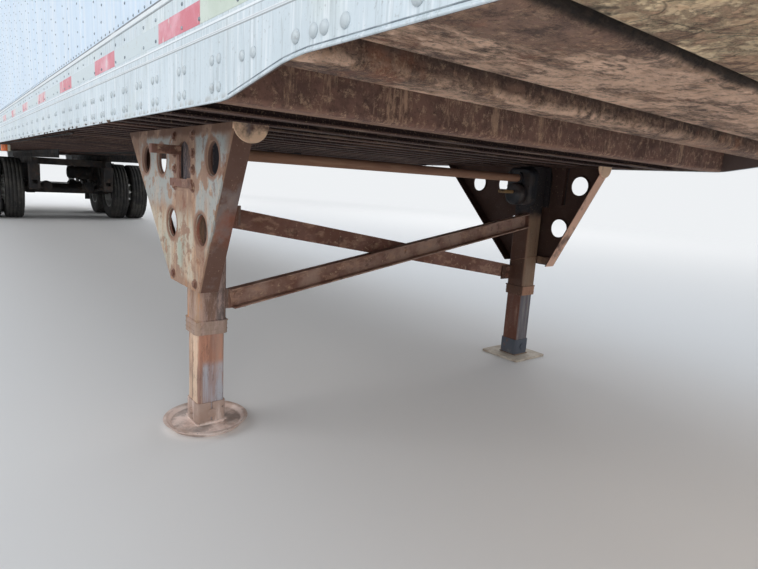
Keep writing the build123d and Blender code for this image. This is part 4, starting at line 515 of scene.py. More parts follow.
def under_finishes():
    """Finishes of the rusted and caked steel under the floor, with painted shade where the nose channels meet
    the coupler plate.
    """
    flecks = stipple((0.90, 0.75, 0.62), 42.0, 0.52, 0.62, 0.6, 0.0008)
    pits = stipple((0.21, 0.16, 0.145), 60.0, 0.54, 0.63, 0.6, -0.0008)
    fine_flecks = specks((0.60, 0.50, 0.41), 170.0, 0.56, 0.68, 0.6, 0.0006)
    along = (1.0, 0.4, 1.0)
    return {
        "members": finish(
            "rusted cross member", (0.265, 0.19, 0.18), (0.85, 0.95), 0.0008,
            patches((0.185, 0.13, 0.13), 5.0, 0.42, 0.66, 0.7, stretch=ACROSS),
            patches(
                (0.44, 0.325, 0.28), 12.0, 0.44, 0.64, 0.75,
                zones=(("up", 1.171, 1.163),), stretch=ACROSS,
            ),
            patches((0.60, 0.50, 0.42), 26.0, 0.56, 0.68, 0.55, 0.0008, stretch=ACROSS),
            fine_flecks,
            grain_scale=190.0,
        ),
        "step": finish(
            "rusted step beam", (0.52, 0.385, 0.335), (0.86, 0.96), 0.0012,
            stipple((0.34, 0.25, 0.225), 5.0, 0.45, 0.58, 0.7, 0.0006),
            stipple((0.80, 0.65, 0.54), 13.0, 0.52, 0.60, 0.75, 0.0010, stretch=DRIPS),
            flecks,
            pits,
            patches(
                (0.62, 0.48, 0.40), 10.0, 0.42, 0.6, 0.8, 0.001,
                zones=(("up", 1.178, 1.166),), stretch=ACROSS,
            ),
            grain_scale=130.0,
        ),
        "channels": finish(
            "caked nose channel", (0.56, 0.435, 0.37), (0.86, 0.96), 0.0012,
            stipple((0.34, 0.265, 0.245), 3.0, 0.47, 0.57, 0.8, -0.002, stretch=along),
            patches((0.64, 0.42, 0.31), 6.0, 0.54, 0.66, 0.6),
            stipple(
                (0.96, 0.80, 0.69), 5.0, 0.44, 0.53, 0.9, 0.003,
                zones=(("up", 1.243, 1.219), ("across", 0.7, -0.2)), ragged=0.03, stretch=along,
            ),
            stipple((0.84, 0.69, 0.58), 9.0, 0.54, 0.62, 0.6, 0.001, stretch=along),
            stipple((0.86, 0.69, 0.57), 24.0, 0.52, 0.60, 0.7, 0.0012, stretch=(1.0, 1.0, 0.4)),
            stipple((0.24, 0.185, 0.165), 17.0, 0.53, 0.61, 0.6, -0.0012, stretch=(1.0, 1.0, 0.5)),
            stipple((0.20, 0.155, 0.14), 13.0, 0.56, 0.64, 0.75, -0.002, stretch=along),
            flecks,
            pits,
            stipple(
                (0.28, 0.22, 0.205), 8.0, 0.28, 0.5, 0.55,
                zones=(("up", 1.246, 1.262),), ragged=0.01, stretch=along,
            ),
            # Painted shade: a near-black band along the channels' front end, where they meet the coupler
            # plate
            plain((0.10, 0.085, 0.08), 0.9, (("ahead", 1.646, 1.656),), 0.006),
            grain_scale=120.0,
        ),
        "coupler": finish(
            "dust caked plate", (0.80, 0.65, 0.53), (0.86, 0.96), 0.0012,
            stipple((0.40, 0.30, 0.25), 2.6, 0.50, 0.57, 0.85, -0.002),
            stipple((1.0, 0.89, 0.73), 4.0, 0.44, 0.51, 0.95, 0.003),
            patches((0.66, 0.44, 0.30), 8.0, 0.56, 0.66, 0.6),
            patches((0.16, 0.13, 0.115), 7.0, 0.58, 0.66, 0.85, -0.001),
            Layer("cracks", (0.24, 0.19, 0.165), 9.0, 0.03, 0.0, 0.65, -0.002),
            flecks,
            pits,
            # Painted shade: a near-black band along the plate's rear edge, where it meets the nose channels
            plain((0.10, 0.085, 0.08), 0.93, (("ahead", 1.694, 1.682),), 0.008),
            grain_scale=130.0,
        ),
        "crust": finish(
            "hanging dirt", (0.36, 0.29, 0.24), (0.9, 0.9), 0.001,
            specks(DARK, 40.0, 0.45, 0.6, 0.7),
        ),
    }


def wing_finish():
    """The braced side plates of the landing gear, with old paint left between rusty parts."""
    outside = on(
        OUTER_FACE,
        patches(
            PALE_PAINT, 4.0, 0.14, 0.30, 0.93, 0.0004,
            zones=(
                ("ahead", -0.60, -0.50), ("ahead", -0.085, -0.125), ("up", 0.84, 0.90), ("up", 1.146, 1.118)
            ),
            ragged=0.03,
        ),
        patches(
            PALE_PAINT, 4.0, 0.14, 0.30, 0.93, 0.0004,
            zones=(("ahead", 0.11, 0.14), ("ahead", 0.43, 0.36), ("up", 0.72, 0.82), ("up", 1.146, 1.118)),
            ragged=0.03,
        ),
        patches(
            CREAM_PAINT, 9.0, 0.33, 0.52, 0.8, 0.0003,
            zones=(("up", 0.90, 0.80), ("up", 0.596, 0.625), ("ahead", 0.17, 0.12)),
            ragged=0.04,
            stretch=DRIPS,
        ),
        patches(
            (0.61, 0.67, 0.62), 8.0, 0.47, 0.62, 0.65,
            zones=(("up", 0.80, 0.72), ("up", 0.60, 0.625)), ragged=0.03, stretch=DRIPS,
        ),
        patches(
            (0.70, 0.52, 0.39), 22.0, 0.50, 0.64, 0.6, 0.0003,
            zones=(("up", 0.97, 0.87),), ragged=0.05, stretch=DRIPS,
        ),
        patches((0.74, 0.56, 0.42), 24.0, 0.55, 0.66, 0.5, zones=(("up", 0.95, 0.84),), stretch=DRIPS),
        patches(RED_RUST, 20.0, 0.58, 0.66, 0.5, -0.0003),
        stipple((0.84, 0.70, 0.58), 34.0, 0.52, 0.60, 0.4, 0.0003, stretch=DRIPS),
        stipple((0.40, 0.31, 0.26), 55.0, 0.54, 0.62, 0.45, -0.0003),
        patches(
            (0.55, 0.40, 0.32), 12.0, 0.25, 0.42, 0.9, 0.0005,
            zones=(("rims", HOLE_RADIUS + 0.026, HOLE_RADIUS + 0.013),), ragged=0.012,
        ),
        patches(
            (0.43, 0.31, 0.25), 9.0, 0.22, 0.4, 0.85, 0.0004,
            zones=(("up", 1.124, 1.146),), ragged=0.02,
        ),
    )
    inside = [
        patches((0.36, 0.25, 0.21), 7.0, 0.2, 0.38, 0.92, 0.0004, zones=(INNER_FACE,), stretch=DRIPS),
        patches((0.50, 0.46, 0.45), 6.0, 0.52, 0.62, 0.6, zones=(INNER_FACE, CURB)),
        patches(
            (0.52, 0.29, 0.20), 5.0, 0.40, 0.6, 0.75,
            zones=(INNER_FACE, ("up", 0.72, 0.80), ("up", 0.95, 0.87), CURB), ragged=0.03,
        ),
        patches(
            (0.235, 0.15, 0.12), 4.0, 0.2, 0.42, 0.9,
            zones=(INNER_FACE, ROAD, ("slant", -0.002, -0.004)),
        ),
        patches(
            (0.90, 0.72, 0.62), 9.0, 0.3, 0.5, 0.9, 0.0003,
            zones=(FRONT_FLANGE, ROAD, ("slant", -0.004, -0.002)),
        ),
    ]
    ear = [
        patches(
            (0.95, 0.80, 0.67), 15.0, 0.30, 0.52, 0.95, 0.0006,
            zones=(("ahead", 0.4345, 0.4365), ("up", 1.09, 1.11)),
        ),
    ]
    flecks = [specks(FLECK, 120.0, 0.63, 0.73, 0.4, 0.0005)]
    return finish(
        "worn wing plate", (0.60, 0.475, 0.395), (0.7, 0.9), 0.0006,
        *outside,
        *inside,
        *ear,
        *flecks,
        grain_scale=190.0,
    )


def leg_finishes():
    """Finishes of the legs, their feet, braces and gearboxes."""
    front = ("ahead", 0.050, 0.0565)
    inner_front = ("ahead", 0.047, 0.052)
    outboard = ("aside", 1.012, 1.040)
    flecks = specks(FLECK, 110.0, 0.62, 0.73, 0.45, 0.0006)
    collar = (("up", 0.386, 0.390), ("up", 0.443, 0.438))
    return {
        "wing": wing_finish(),
        "leg": finish(
            "rusted leg tube", (0.50, 0.385, 0.325), (0.72, 0.9), 0.0006,
            patches((0.30, 0.22, 0.19), 8.0, 0.44, 0.62, 0.75, 0.0005, stretch=DRIPS),
            patches((0.40, 0.37, 0.37), 16.0, 0.50, 0.62, 0.7, zones=(CURB,), stretch=RUNS),
            patches(RED_RUST, 22.0, 0.52, 0.62, 0.6, stretch=RUNS),
            patches((0.70, 0.57, 0.46), 10.0, 0.30, 0.5, 0.85, zones=(CURB, outboard), stretch=RUNS),
            patches((0.80, 0.58, 0.42), 24.0, 0.50, 0.6, 0.8, zones=(CURB, outboard), stretch=RUNS),
            patches((0.56, 0.46, 0.37), 9.0, 0.36, 0.55, 0.8, zones=(ROAD, front), stretch=RUNS),
            patches(BLACK_PAINT, 6.0, 0.25, 0.42, 0.95, zones=(ROAD, ("up", 0.84, 0.90)), ragged=0.05),
            patches(
                (0.20, 0.22, 0.265), 14.0, 0.25, 0.45, 0.9,
                zones=(CURB, ("up", 0.90, 0.96)), stretch=DRIPS,
            ),
            patches((0.62, 0.53, 0.47), 12.0, 0.3, 0.5, 0.85, 0.0004, zones=(CURB, *collar)),
            patches((0.68, 0.50, 0.40), 12.0, 0.3, 0.5, 0.85, 0.0004, zones=(ROAD, *collar)),
            patches(
                (0.31, 0.205, 0.155), 9.0, 0.25, 0.45, 0.9,
                zones=(ROAD, ("aside", 0.932, 0.929), ("up", 0.84, 0.80)), stretch=DRIPS,
            ),
            stipple((0.70, 0.60, 0.56), 26.0, 0.47, 0.58, 0.65, 0.0004, zones=(CURB,), stretch=DRIPS),
            stipple((0.26, 0.195, 0.17), 40.0, 0.54, 0.62, 0.5, -0.0004, stretch=DRIPS),
            flecks,
            grain_scale=190.0,
        ),
        "inner_leg": finish(
            "worn inner leg tube", (0.66, 0.52, 0.455), (0.62, 0.85), 0.0005,
            patches((0.50, 0.375, 0.335), 9.0, 0.45, 0.62, 0.6, stretch=DRIPS),
            patches(
                (0.76, 0.53, 0.42), 12.0, 0.42, 0.6, 0.8, 0.0004,
                zones=(CURB, ("up", 0.20, 0.30)), stretch=DRIPS,
            ),
            patches(
                (0.90, 0.79, 0.68), 30.0, 0.44, 0.56, 0.8,
                zones=(CURB, ("aside", 1.020, 1.036)), stretch=RUNS,
            ),
            patches(
                (0.67, 0.68, 0.71), 16.0, 0.30, 0.50, 0.88,
                zones=(("across", -1.028, -1.016), CURB, ("up", 0.285, 0.245), inner_front), stretch=DRIPS,
            ),
            patches(
                (0.56, 0.39, 0.32), 24.0, 0.46, 0.58, 0.6,
                zones=(("across", -0.955, -0.985), CURB), stretch=RUNS,
            ),
            patches(
                (0.36, 0.195, 0.135), 12.0, 0.18, 0.42, 0.92, 0.0004,
                zones=(ROAD, ("ahead", 0.053, 0.048)), stretch=DRIPS,
            ),
            patches(
                (0.36, 0.37, 0.40), 9.0, 0.30, 0.50, 0.9,
                zones=(ROAD, ("ahead", 0.048, 0.053)), stretch=DRIPS,
            ),
            patches(
                (0.58, 0.55, 0.54), 26.0, 0.52, 0.64, 0.6,
                zones=(ROAD, ("ahead", 0.048, 0.053)), stretch=RUNS,
            ),
            stipple((0.42, 0.31, 0.27), 36.0, 0.53, 0.61, 0.5, -0.0004, stretch=DRIPS),
            flecks,
            grain_scale=190.0,
        ),
        "brace": finish(
            "rusted brace", (0.50, 0.36, 0.31), (0.74, 0.9), 0.0005,
            patches((0.66, 0.56, 0.50), 9.0, 0.3, 0.55, 0.7, zones=(("ahead", -0.01, 0.01),)),
            patches((0.42, 0.27, 0.21), 4.0, 0.42, 0.62, 0.8, 0.0004),
            patches((0.68, 0.54, 0.45), 30.0, 0.5, 0.64, 0.6, 0.0004, stretch=(1.0, 0.5, 1.0)),
            patches((0.31, 0.215, 0.18), 19.0, 0.57, 0.67, 0.6, -0.0004),
            specks((0.72, 0.61, 0.50), 60.0, 0.62, 0.71, 0.6, 0.0006),
            grain_scale=200.0,
        ),
        "shaft": finish(
            "rusty shaft", (0.58, 0.43, 0.34), (0.7, 0.88), 0.0004,
            patches((0.44, 0.29, 0.23), 9.0, 0.42, 0.62, 0.7, 0.0003, stretch=ACROSS),
            specks((0.68, 0.55, 0.44), 45.0, 0.55, 0.7, 0.5, stretch=ACROSS),
        ),
        "pad": finish(
            "dusty foot pad", (0.92, 0.84, 0.80), (0.85, 0.95), 0.0012,
            patches((0.79, 0.68, 0.62), 9.0, 0.45, 0.62, 0.7, 0.0006),
            patches((0.90, 0.85, 0.82), 14.0, 0.48, 0.62, 0.7, 0.0008),
            patches(
                (0.60, 0.50, 0.445), 14.0, 0.3, 0.55, 0.85, 0.0004,
                zones=(("up", 0.020, 0.030),), ragged=0.006, stretch=DRIPS,
            ),
            patches((0.42, 0.36, 0.33), 10.0, 0.4, 0.6, 0.6, zones=(("up", 0.0165, 0.0125),)),
            specks(DARK, 60.0, 0.66, 0.74, 0.5, -0.0005),
            grain_scale=150.0,
        ),
        "square_foot": finish(
            "dusty square foot", (0.78, 0.74, 0.68), (0.75, 0.92), 0.0008,
            patches((0.62, 0.55, 0.48), 12.0, 0.46, 0.62, 0.7, 0.0006),
            patches((0.28, 0.31, 0.36), 9.0, 0.2, 0.4, 0.95, 0.0003, zones=(("up", 0.013, 0.018),)),
            patches((0.52, 0.34, 0.24), 15.0, 0.58, 0.66, 0.8, 0.0004, zones=(("up", 0.013, 0.018),)),
            grain_scale=160.0,
        ),
        "iron": finish(
            "oily black iron", BLACK_PAINT, (0.4, 0.75), 0.0008,
            patches((0.24, 0.20, 0.185), 10.0, 0.5, 0.66, 0.7, 0.0005),
            patches(
                (0.60, 0.47, 0.30), 14.0, 0.3, 0.5, 0.85,
                zones=(("across", 0.819, 0.814), ("across", 0.5, 0.6), ("up", 1.03, 1.02)),
            ),
            specks((0.44, 0.36, 0.30), 70.0, 0.64, 0.76, 0.45, 0.0004),
            grain_scale=120.0,
        ),
    }


def gear_finishes():
    """Finishes of the bogie, wheels, rear frame and small pieces."""
    road_dust = patches((0.40, 0.35, 0.30), 14.0, 0.55, 0.75, 0.5, 0.0008)
    return {
        "running": finish(
            "dusty running gear", (0.135, 0.13, 0.135), (0.65, 0.9), 0.0008,
            patches((0.27, 0.225, 0.19), 5.0, 0.42, 0.66, 0.7, 0.0006),
            road_dust,
            patches((0.29, 0.18, 0.13), 20.0, 0.55, 0.68, 0.6),
            grain_scale=160.0,
        ),
        "rim": finish(
            "dull white rim", (0.74, 0.74, 0.725), (0.5, 0.75), 0.0003,
            patches(GRIME, 9.0, 0.45, 0.7, 0.5),
            patches((0.48, 0.31, 0.21), 18.0, 0.58, 0.7, 0.7, 0.0003),
            specks((0.34, 0.31, 0.28), 70.0, 0.6, 0.74, 0.4),
        ),
        "tyre": finish(
            "worn dusty rubber", (0.15, 0.147, 0.145), (0.8, 0.93), 0.0004,
            patches((0.33, 0.31, 0.285), 6.0, 0.4, 0.7, 0.55),
            specks((0.40, 0.37, 0.33), 45.0, 0.58, 0.72, 0.4, 0.0004),
            grain_scale=260.0,
        ),
        "rubber": finish(
            "matt rubber", (0.12, 0.12, 0.12), (0.75, 0.9), 0.0004,
            patches((0.35, 0.32, 0.29), 7.0, 0.45, 0.72, 0.5),
        ),
        "galvanised": finish(
            "dull galvanised steel", (0.63, 0.645, 0.65), (0.45, 0.7), 0.0002,
            Layer("cells", (0.74, 0.755, 0.76), 45.0, 0.1, 0.7, 0.35),
            patches((0.48, 0.46, 0.44), 5.0, 0.42, 0.7, 0.5),
            patches(ORANGE, 13.0, 0.6, 0.72, 0.75, 0.0003, stretch=DRIPS),
            metal=0.3,
        ),
        "plywood": finish(
            "worn plywood lining", (0.66, 0.52, 0.36), (0.65, 0.8), 0.0,
            patches((0.56, 0.42, 0.28), 7.0, 0.4, 0.62, 0.7, stretch=(0.08, 1.0, 1.0)),
            patches((0.42, 0.33, 0.24), 3.0, 0.52, 0.68, 0.5),
            patches((0.30, 0.25, 0.20), 30.0, 0.6, 0.7, 0.5, stretch=(0.2, 1.0, 1.0)),
        ),
        "red_coupling": finish(
            "worn red coupling", (0.55, 0.13, 0.10), (0.45, 0.65), 0.0,
            patches(GRIME, 30.0, 0.5, 0.66, 0.6),
        ),
        "blue_coupling": finish(
            "worn blue coupling", (0.12, 0.24, 0.50), (0.45, 0.65), 0.0,
            patches(GRIME, 30.0, 0.5, 0.66, 0.6),
        ),
    }


def make_finishes():
    """Every finish by its name."""
    made = pale_finishes()
    made.update(under_finishes())
    made.update(leg_finishes())
    made.update(gear_finishes())
    made["boards"] = floor_boards()
    made["tape"] = marking_tape("marking tape", 0, LEG_X + TAPE_START, sizes().tape_period, sizes().tape_red)
    made["rear_tape"] = marking_tape("rear marking tape", 1, -0.229, 0.457, 0.279)
    made["white_tape"] = finish(
        "white marking tape", (0.84, 0.86, 0.84), (0.35, 0.5), 0.0,
        patches(GRIME, 30.0, 0.55, 0.7, 0.4),
    )
    made["amber"] = lens("amber lens", tuple(colours().lens), True)
    made["red"] = lens("red lens", (0.66, 0.06, 0.06))
    return made


def lens(name, base, housed=False):
    """A ribbed lens, glossy under a film of dust, with a pale housing inboard of the lamps that have one."""
    mixer = Mixer(name)
    ribs = mixer.math("SINE", mixer.math("MULTIPLY", mixer.x, LENS_RIBS))
    cross = mixer.math("SINE", mixer.math("MULTIPLY", mixer.y, LENS_RIBS))
    height = mixer.math("MULTIPLY", mixer.math("ADD", ribs, cross), 0.0002)
    colour = base
    if housed:
        low_lamp = mixer.math("LESS_THAN", mixer.z, 2.0)
        inboard = mixer.math("MULTIPLY", mixer.math("LESS_THAN", mixer.reach("aside"), 1.175), low_lamp)
        colour = mixer.blend(inboard, colour, (0.86, 0.84, 0.74))
        plate = mixer.math("MULTIPLY", mixer.math("GREATER_THAN", mixer.z, RAIL_BOTTOM - 0.006), low_lamp)
        colour = mixer.blend(plate, colour, (0.46, 0.33, 0.26))
    colour = mixer.blend(mixer.spread(30.0, 0.45, 0.75, 0.35), colour, DUST)
    return mixer.close(colour, (0.25, 0.25), height, coat=0.5)


def marking_tape(name, axis, start, period, length):
    """Faded marking tape, red and white in turn along an axis, with a fine cell pattern."""
    mixer = Mixer(name)
    run = mixer.math("DIVIDE", mixer.math("SUBTRACT", mixer.parts[axis], start), period)
    step = mixer.math("FRACT", mixer.math("ADD", run, 100.0))
    red = mixer.math("LESS_THAN", step, length / period)
    pale = mixer.blend(mixer.spread(6.0, 0.4, 0.65), (0.82, 0.86, 0.815), (0.77, 0.82, 0.76))
    bare = mixer.between(mixer.reach("ahead"), 0.74, 0.44, 0.0, 0.92)
    pale = mixer.blend(bare, pale, (0.80, 0.85, 0.87))
    worn_red = mixer.blend(mixer.spread(9.0, 0.42, 0.68), tuple(colours().tape), (0.90, 0.64, 0.69))
    far = mixer.between(mixer.reach("ahead"), -0.35, -2.2, 0.0, 0.16)
    streaks = mixer.math("ADD", mixer.pattern("patches", 24.0, (1.0, 1.0, 0.35)), far)
    worn_red = mixer.blend(mixer.between(streaks, 0.60, 0.68, 0.0, 0.85), worn_red, (0.90, 0.86, 0.86))
    colour = mixer.blend(red, pale, worn_red)
    colour = mixer.blend(mixer.spread(40.0, 0.60, 0.7, 0.5), colour, (0.72, 0.73, 0.71))
    cells = mixer.math("MULTIPLY", mixer.pattern("cells", 260.0), 0.0003)
    return mixer.close(colour, (0.45, 0.45), cells, strength=0.6, coat=0.2)


def floor_boards():
    """Laminated boards that run along the body: worn above, dark with road dirt below."""
    mixer = Mixer("floor boards")
    across = mixer.math("MULTIPLY", mixer.y, 1 / BOARD_STRIP)
    strip = mixer.math("FLOOR", across)
    wave = mixer.math("SINE", mixer.math("MULTIPLY", strip, 12.9))
    tone = mixer.math("FRACT", mixer.math("MULTIPLY", wave, 43.7))
    wood = mixer.blend(tone, (0.55, 0.40, 0.26), (0.40, 0.27, 0.16))
    wood = mixer.blend(mixer.spread(30.0, 0.4, 0.65, 0.5, (0.08, 1.0, 1.0)), wood, (0.30, 0.21, 0.14))
    below = mixer.between(mixer.z, FLOOR_TOP - 0.005, FLOOR_TOP - 0.015)
    soiled = mixer.blend(mixer.spread(4.0, 0.4, 0.65), (0.22, 0.16, 0.12), (0.34, 0.26, 0.20))
    seam = mixer.math("PINGPONG", across, 0.5)
    groove = mixer.math("MULTIPLY", mixer.between(seam, 0.0, 0.06), 0.0015)
    return mixer.close(mixer.blend(below, wood, soiled), (0.75, 0.75), groove)


# CAD nodes and the finish that each one wears
NODE_FINISHES = {
    "rail": ("bottom_rail_left", "bottom_rail_right", "top_rails"),
    "walls": ("side_wall_left", "side_wall_right", "nose_wall", "roof"),
    "posts": ("front_corner_posts",),
    "members": ("cross_members",),
    "step": ("step_beam",),
    "channels": ("nose_channels",),
    "coupler": ("upper_coupler",),
    "wing": ("wing_plates",),
    "leg": ("outer_legs",),
    "inner_leg": ("inner_leg_left", "inner_leg_right"),
    "square_foot": ("foot_left",),
    "pad": ("foot_right",),
    "shaft": ("cross_shaft",),
    "brace": ("brace_front", "brace_rear", "curb_stub"),
    "iron": ("gearboxes", "kingpin", "crank"),
    "running": (
        "slide_rails",
        "bogie_frame",
        "leaf_springs",
        "axles",
        "radius_rods",
        "brake_chambers",
        "air_tank",
    ),
    "rim": ("wheel_front_left", "wheel_front_right", "wheel_rear_left", "wheel_rear_right"),
    "rubber": ("mud_flaps", "dock_bumpers"),
    "galvanised": ("rear_frame", "underride_guard", "door_locks_left", "door_locks_right", "nose_box"),
    "door": ("door_left", "door_right"),
    "boards": ("floor",),
    "amber": ("marker_lamps",),
    "red": ("rear_lamps",),
}
FINISHES = {}


# Mesh helpers

def settle(bm, name, wear, body="root", smooth=False):
    """Turns a bmesh into a finished piece that rides on a body."""
    bmesh.ops.remove_doubles(bm, verts=bm.verts, dist=1e-6)
    bmesh.ops.recalc_face_normals(bm, faces=bm.faces)
    for face in bm.faces:
        face.smooth = smooth
    mesh = bpy.data.meshes.new(name)
    bm.to_mesh(mesh)
    bm.free()
    return place(mesh, name, wear, body)


def place(mesh, name, wear, body="root"):
    """Puts a mesh in the scene as a piece with its finish."""
    mesh.materials.clear()
    mesh.materials.append(FINISHES[wear])
    piece = bpy.data.objects.new(name, mesh)
    bpy.context.scene.collection.objects.link(piece)
    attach(piece, body)
    return piece


def add_block(bm, low, high, bevel=0.0):
    """A box between two corners, with its edges broken."""
    low, high = [min(a, b) for a, b in zip(low, high)], [max(a, b) for a, b in zip(low, high)]
    size = [b - a for a, b in zip(low, high)]
    centre = [(a + b) / 2 for a, b in zip(low, high)]
    shape = Matrix.Translation(centre) @ Matrix.Diagonal((*size, 1.0))
    made = bmesh.ops.create_cube(bm, size=1.0, matrix=shape)
    if bevel:
        edges = {edge for vert in made["verts"] for edge in vert.link_edges}
        bmesh.ops.bevel(bm, geom=list(edges), offset=bevel, segments=1, affect="EDGES")


def add_rod(bm, start, end, radius, sides=16):
    """A round bar between two points."""
    start, end = Vector(start), Vector(end)
    run = end - start
    turn = run.to_track_quat("Z", "Y").to_matrix().to_4x4()
    bmesh.ops.create_cone(
        bm, cap_ends=True, segments=sides, radius1=radius, radius2=radius,
        depth=run.length, matrix=Matrix.Translation((start + end) / 2) @ turn,
    )


def add_slab(bm, centre, across, along, corner, thick, facing):
    """A plate with rounded corners, thick along the axis that it faces."""
    steps = 5
    outline = []
    for quarter, (side_a, side_b) in enumerate(((1, 1), (-1, 1), (-1, -1), (1, -1))):
        for step in range(steps + 1):
            turn = math.pi / 2 * (quarter + step / steps)
            outline.append(
                (
                    side_a * (across / 2 - corner) + corner * math.cos(turn),
                    side_b * (along / 2 - corner) + corner * math.sin(turn),
                )
            )
    order = {"x": (2, 0, 1), "y": (0, 2, 1), "z": (0, 1, 2)}[facing]
    rings = []
    for level in (-thick / 2, thick / 2):
        ring = []
        for a, b in outline:
            values = (a, b, level)
            ring.append(bm.verts.new([centre[k] + values[order[k]] for k in range(3)]))
        rings.append(ring)
    count = len(outline)
    for index in range(count):
        ahead = (index + 1) % count
        bm.faces.new((rings[0][index], rings[0][ahead], rings[1][ahead], rings[1][index]))
    bm.faces.new(rings[0])
    bm.faces.new(rings[1])


def close_rings(bm, rings):
    """Faces between each ring of vertices and the next, round to the first ring."""
    count = len(rings[0])
    for here, ahead in zip(rings, rings[1:] + rings[:1]):
        for k in range(count):
            nearer = (k + 1) % count
            bm.faces.new((here[k], here[nearer], ahead[nearer], ahead[k]))


def add_ring(bm, outline, axis_x, axis_y, axis_z, steps, side=1):
    """A closed outline of outboard places and radii, turned about a line along Y."""
    rings = []
    for index in range(steps):
        turn = 2 * math.pi * index / steps
        spots = [
            (axis_x + r * math.sin(turn), axis_y + side * y, axis_z + r * math.cos(turn))
            for y, r in outline
        ]
        rings.append([bm.verts.new(spot) for spot in spots])
    close_rings(bm, rings)


def add_bezel(bm, face_x, y, z, outline, steps=36):
    """A closed outline of radii and rises, turned about a line along X."""
    rings = []
    for index in range(steps):
        turn = 2 * math.pi * index / steps
        spots = [(face_x - rise, y + r * math.cos(turn), z + r * math.sin(turn)) for r, rise in outline]
        rings.append([bm.verts.new(spot) for spot in spots])
    close_rings(bm, rings)


# What repeats, by Geometry Nodes

class TreeMaker(NodeMaker):
    """Builds one node tree with named inputs."""

    def __init__(self, name, inputs):
        super().__init__(bpy.data.node_groups.new(name, "GeometryNodeTree"))
        face = self.tree.interface
        face.new_socket("Geometry", in_out="INPUT", socket_type="NodeSocketGeometry")
        for label, kind, value in inputs:
            face.new_socket(label, in_out="INPUT", socket_type=kind).default_value = value
        face.new_socket("Finish", in_out="INPUT", socket_type="NodeSocketMaterial")
        face.new_socket("Geometry", in_out="OUTPUT", socket_type="NodeSocketGeometry")
        self.given = self.add("NodeGroupInput").outputs

    def close(self, geometry):
        """Ends the tree with real meshes in their finish."""
        real = self.add("GeometryNodeRealizeInstances", {"Geometry": geometry})
        worn = {"Geometry": real.outputs[0], "Material": self.given["Finish"]}
        dressed = self.add("GeometryNodeSetMaterial", worn)
        self.add("NodeGroupOutput", {0: dressed.outputs[0]})
        return self.tree


def heads_tree(shape):
    """Tree that sets a head on every point, turned to face out of the surface."""
    maker = TreeMaker(
        shape,
        (
            ("Radius", "NodeSocketFloat", 0.01),
            ("Rise", "NodeSocketFloat", 0.004),
            ("Facets", "NodeSocketInt", 8),
            ("Rings", "NodeSocketInt", 4),
        ),
    )
    given = maker.given
    if shape == "Hex bolts":
        nut = maker.add("GeometryNodeMeshCylinder", {"Vertices": 6, "Radius": 1.0, "Depth": 2.0})
        flange = {"Vertices": given["Facets"], "Radius": 1.5, "Depth": 0.5}
        washer = maker.add("GeometryNodeMeshCylinder", flange)
        form = maker.add("GeometryNodeJoinGeometry")
        for part in (nut, washer):
            maker.tree.links.new(part.outputs[0], form.inputs[0])
    else:
        ball = {"Segments": given["Facets"], "Rings": given["Rings"], "Radius": 1.0}
        form = maker.add("GeometryNodeMeshUVSphere", ball)
    size = {"X": given["Radius"], "Y": given["Radius"], "Z": given["Rise"]}
    stretch = maker.add("ShaderNodeCombineXYZ", size)
    scaled = maker.add("GeometryNodeTransform", {"Geometry": form.outputs[0], "Scale": stretch.outputs[0]})
    spot = maker.add("ShaderNodeSeparateXYZ", {0: maker.add("GeometryNodeInputPosition").outputs[0]})
    lift = maker.math("MAXIMUM", spot.outputs[2], -0.0005)
    flat = maker.add("ShaderNodeCombineXYZ", {"X": spot.outputs[0], "Y": spot.outputs[1], "Z": lift})
    placed = {"Geometry": scaled.outputs[0], "Position": flat.outputs[0]}
    based = maker.add("GeometryNodeSetPosition", placed)
    shading = {"Geometry": based.outputs[0], "Shade Smooth": shape != "Hex bolts"}
    smooth = maker.add("GeometryNodeSetShadeSmooth", shading)
    facing = maker.add("GeometryNodeInputNamedAttribute", data_type="FLOAT_VECTOR")
    facing.inputs["Name"].default_value = "facing"
    turned = maker.add("FunctionNodeAlignRotationToVector", {"Vector": facing.outputs[0]}, axis="Z")
    spread = maker.add(
        "GeometryNodeInstanceOnPoints",
        {"Points": given["Geometry"], "Instance": smooth.outputs[0], "Rotation": turned.outputs[0]},
    )
    return maker.close(spread.outputs[0])


def beads_tree():
    """Tree that runs a rippled round bead along every line."""
    maker = TreeMaker(
        "Beads",
        (
            ("Radius", "NodeSocketFloat", 0.004),
            ("Ripple", "NodeSocketFloat", 0.25),
            ("Pitch", "NodeSocketFloat", 0.006),
            ("Facets", "NodeSocketInt", 6),
        ),
    )
    given = maker.given
    curve = maker.add("GeometryNodeMeshToCurve", {0: given["Geometry"]})
    cut = maker.add("GeometryNodeResampleCurve", {"Curve": curve.outputs[0]})
    if "Mode" in cut.inputs:
        cut.inputs["Mode"].default_value = "Length"
    else:
        cut.mode = "LENGTH"
    maker.tree.links.new(given["Pitch"], cut.inputs["Length"])
    index = maker.add("GeometryNodeInputIndex").outputs[0]
    wave = maker.math("SINE", maker.math("MULTIPLY", index, 2.1))
    share = maker.math("ADD", maker.math("MULTIPLY", wave, given["Ripple"]), 1.0)
    width = maker.math("MULTIPLY", share, given["Radius"])
    sized = maker.add("GeometryNodeSetCurveRadius", {"Curve": cut.outputs[0], "Radius": width})
    section = maker.add("GeometryNodeCurvePrimitiveCircle", {"Resolution": given["Facets"], "Radius": 1.0})
    links = {"Curve": sized.outputs[0], "Profile Curve": section.outputs[0], "Fill Caps": True}
    tube = maker.add("GeometryNodeCurveToMesh", links)
    if "Scale" in tube.inputs:
        maker.tree.links.new(width, tube.inputs["Scale"])
    smooth = maker.add("GeometryNodeSetShadeSmooth", {"Geometry": tube.outputs[0], "Shade Smooth": True})
    return maker.close(smooth.outputs[0])


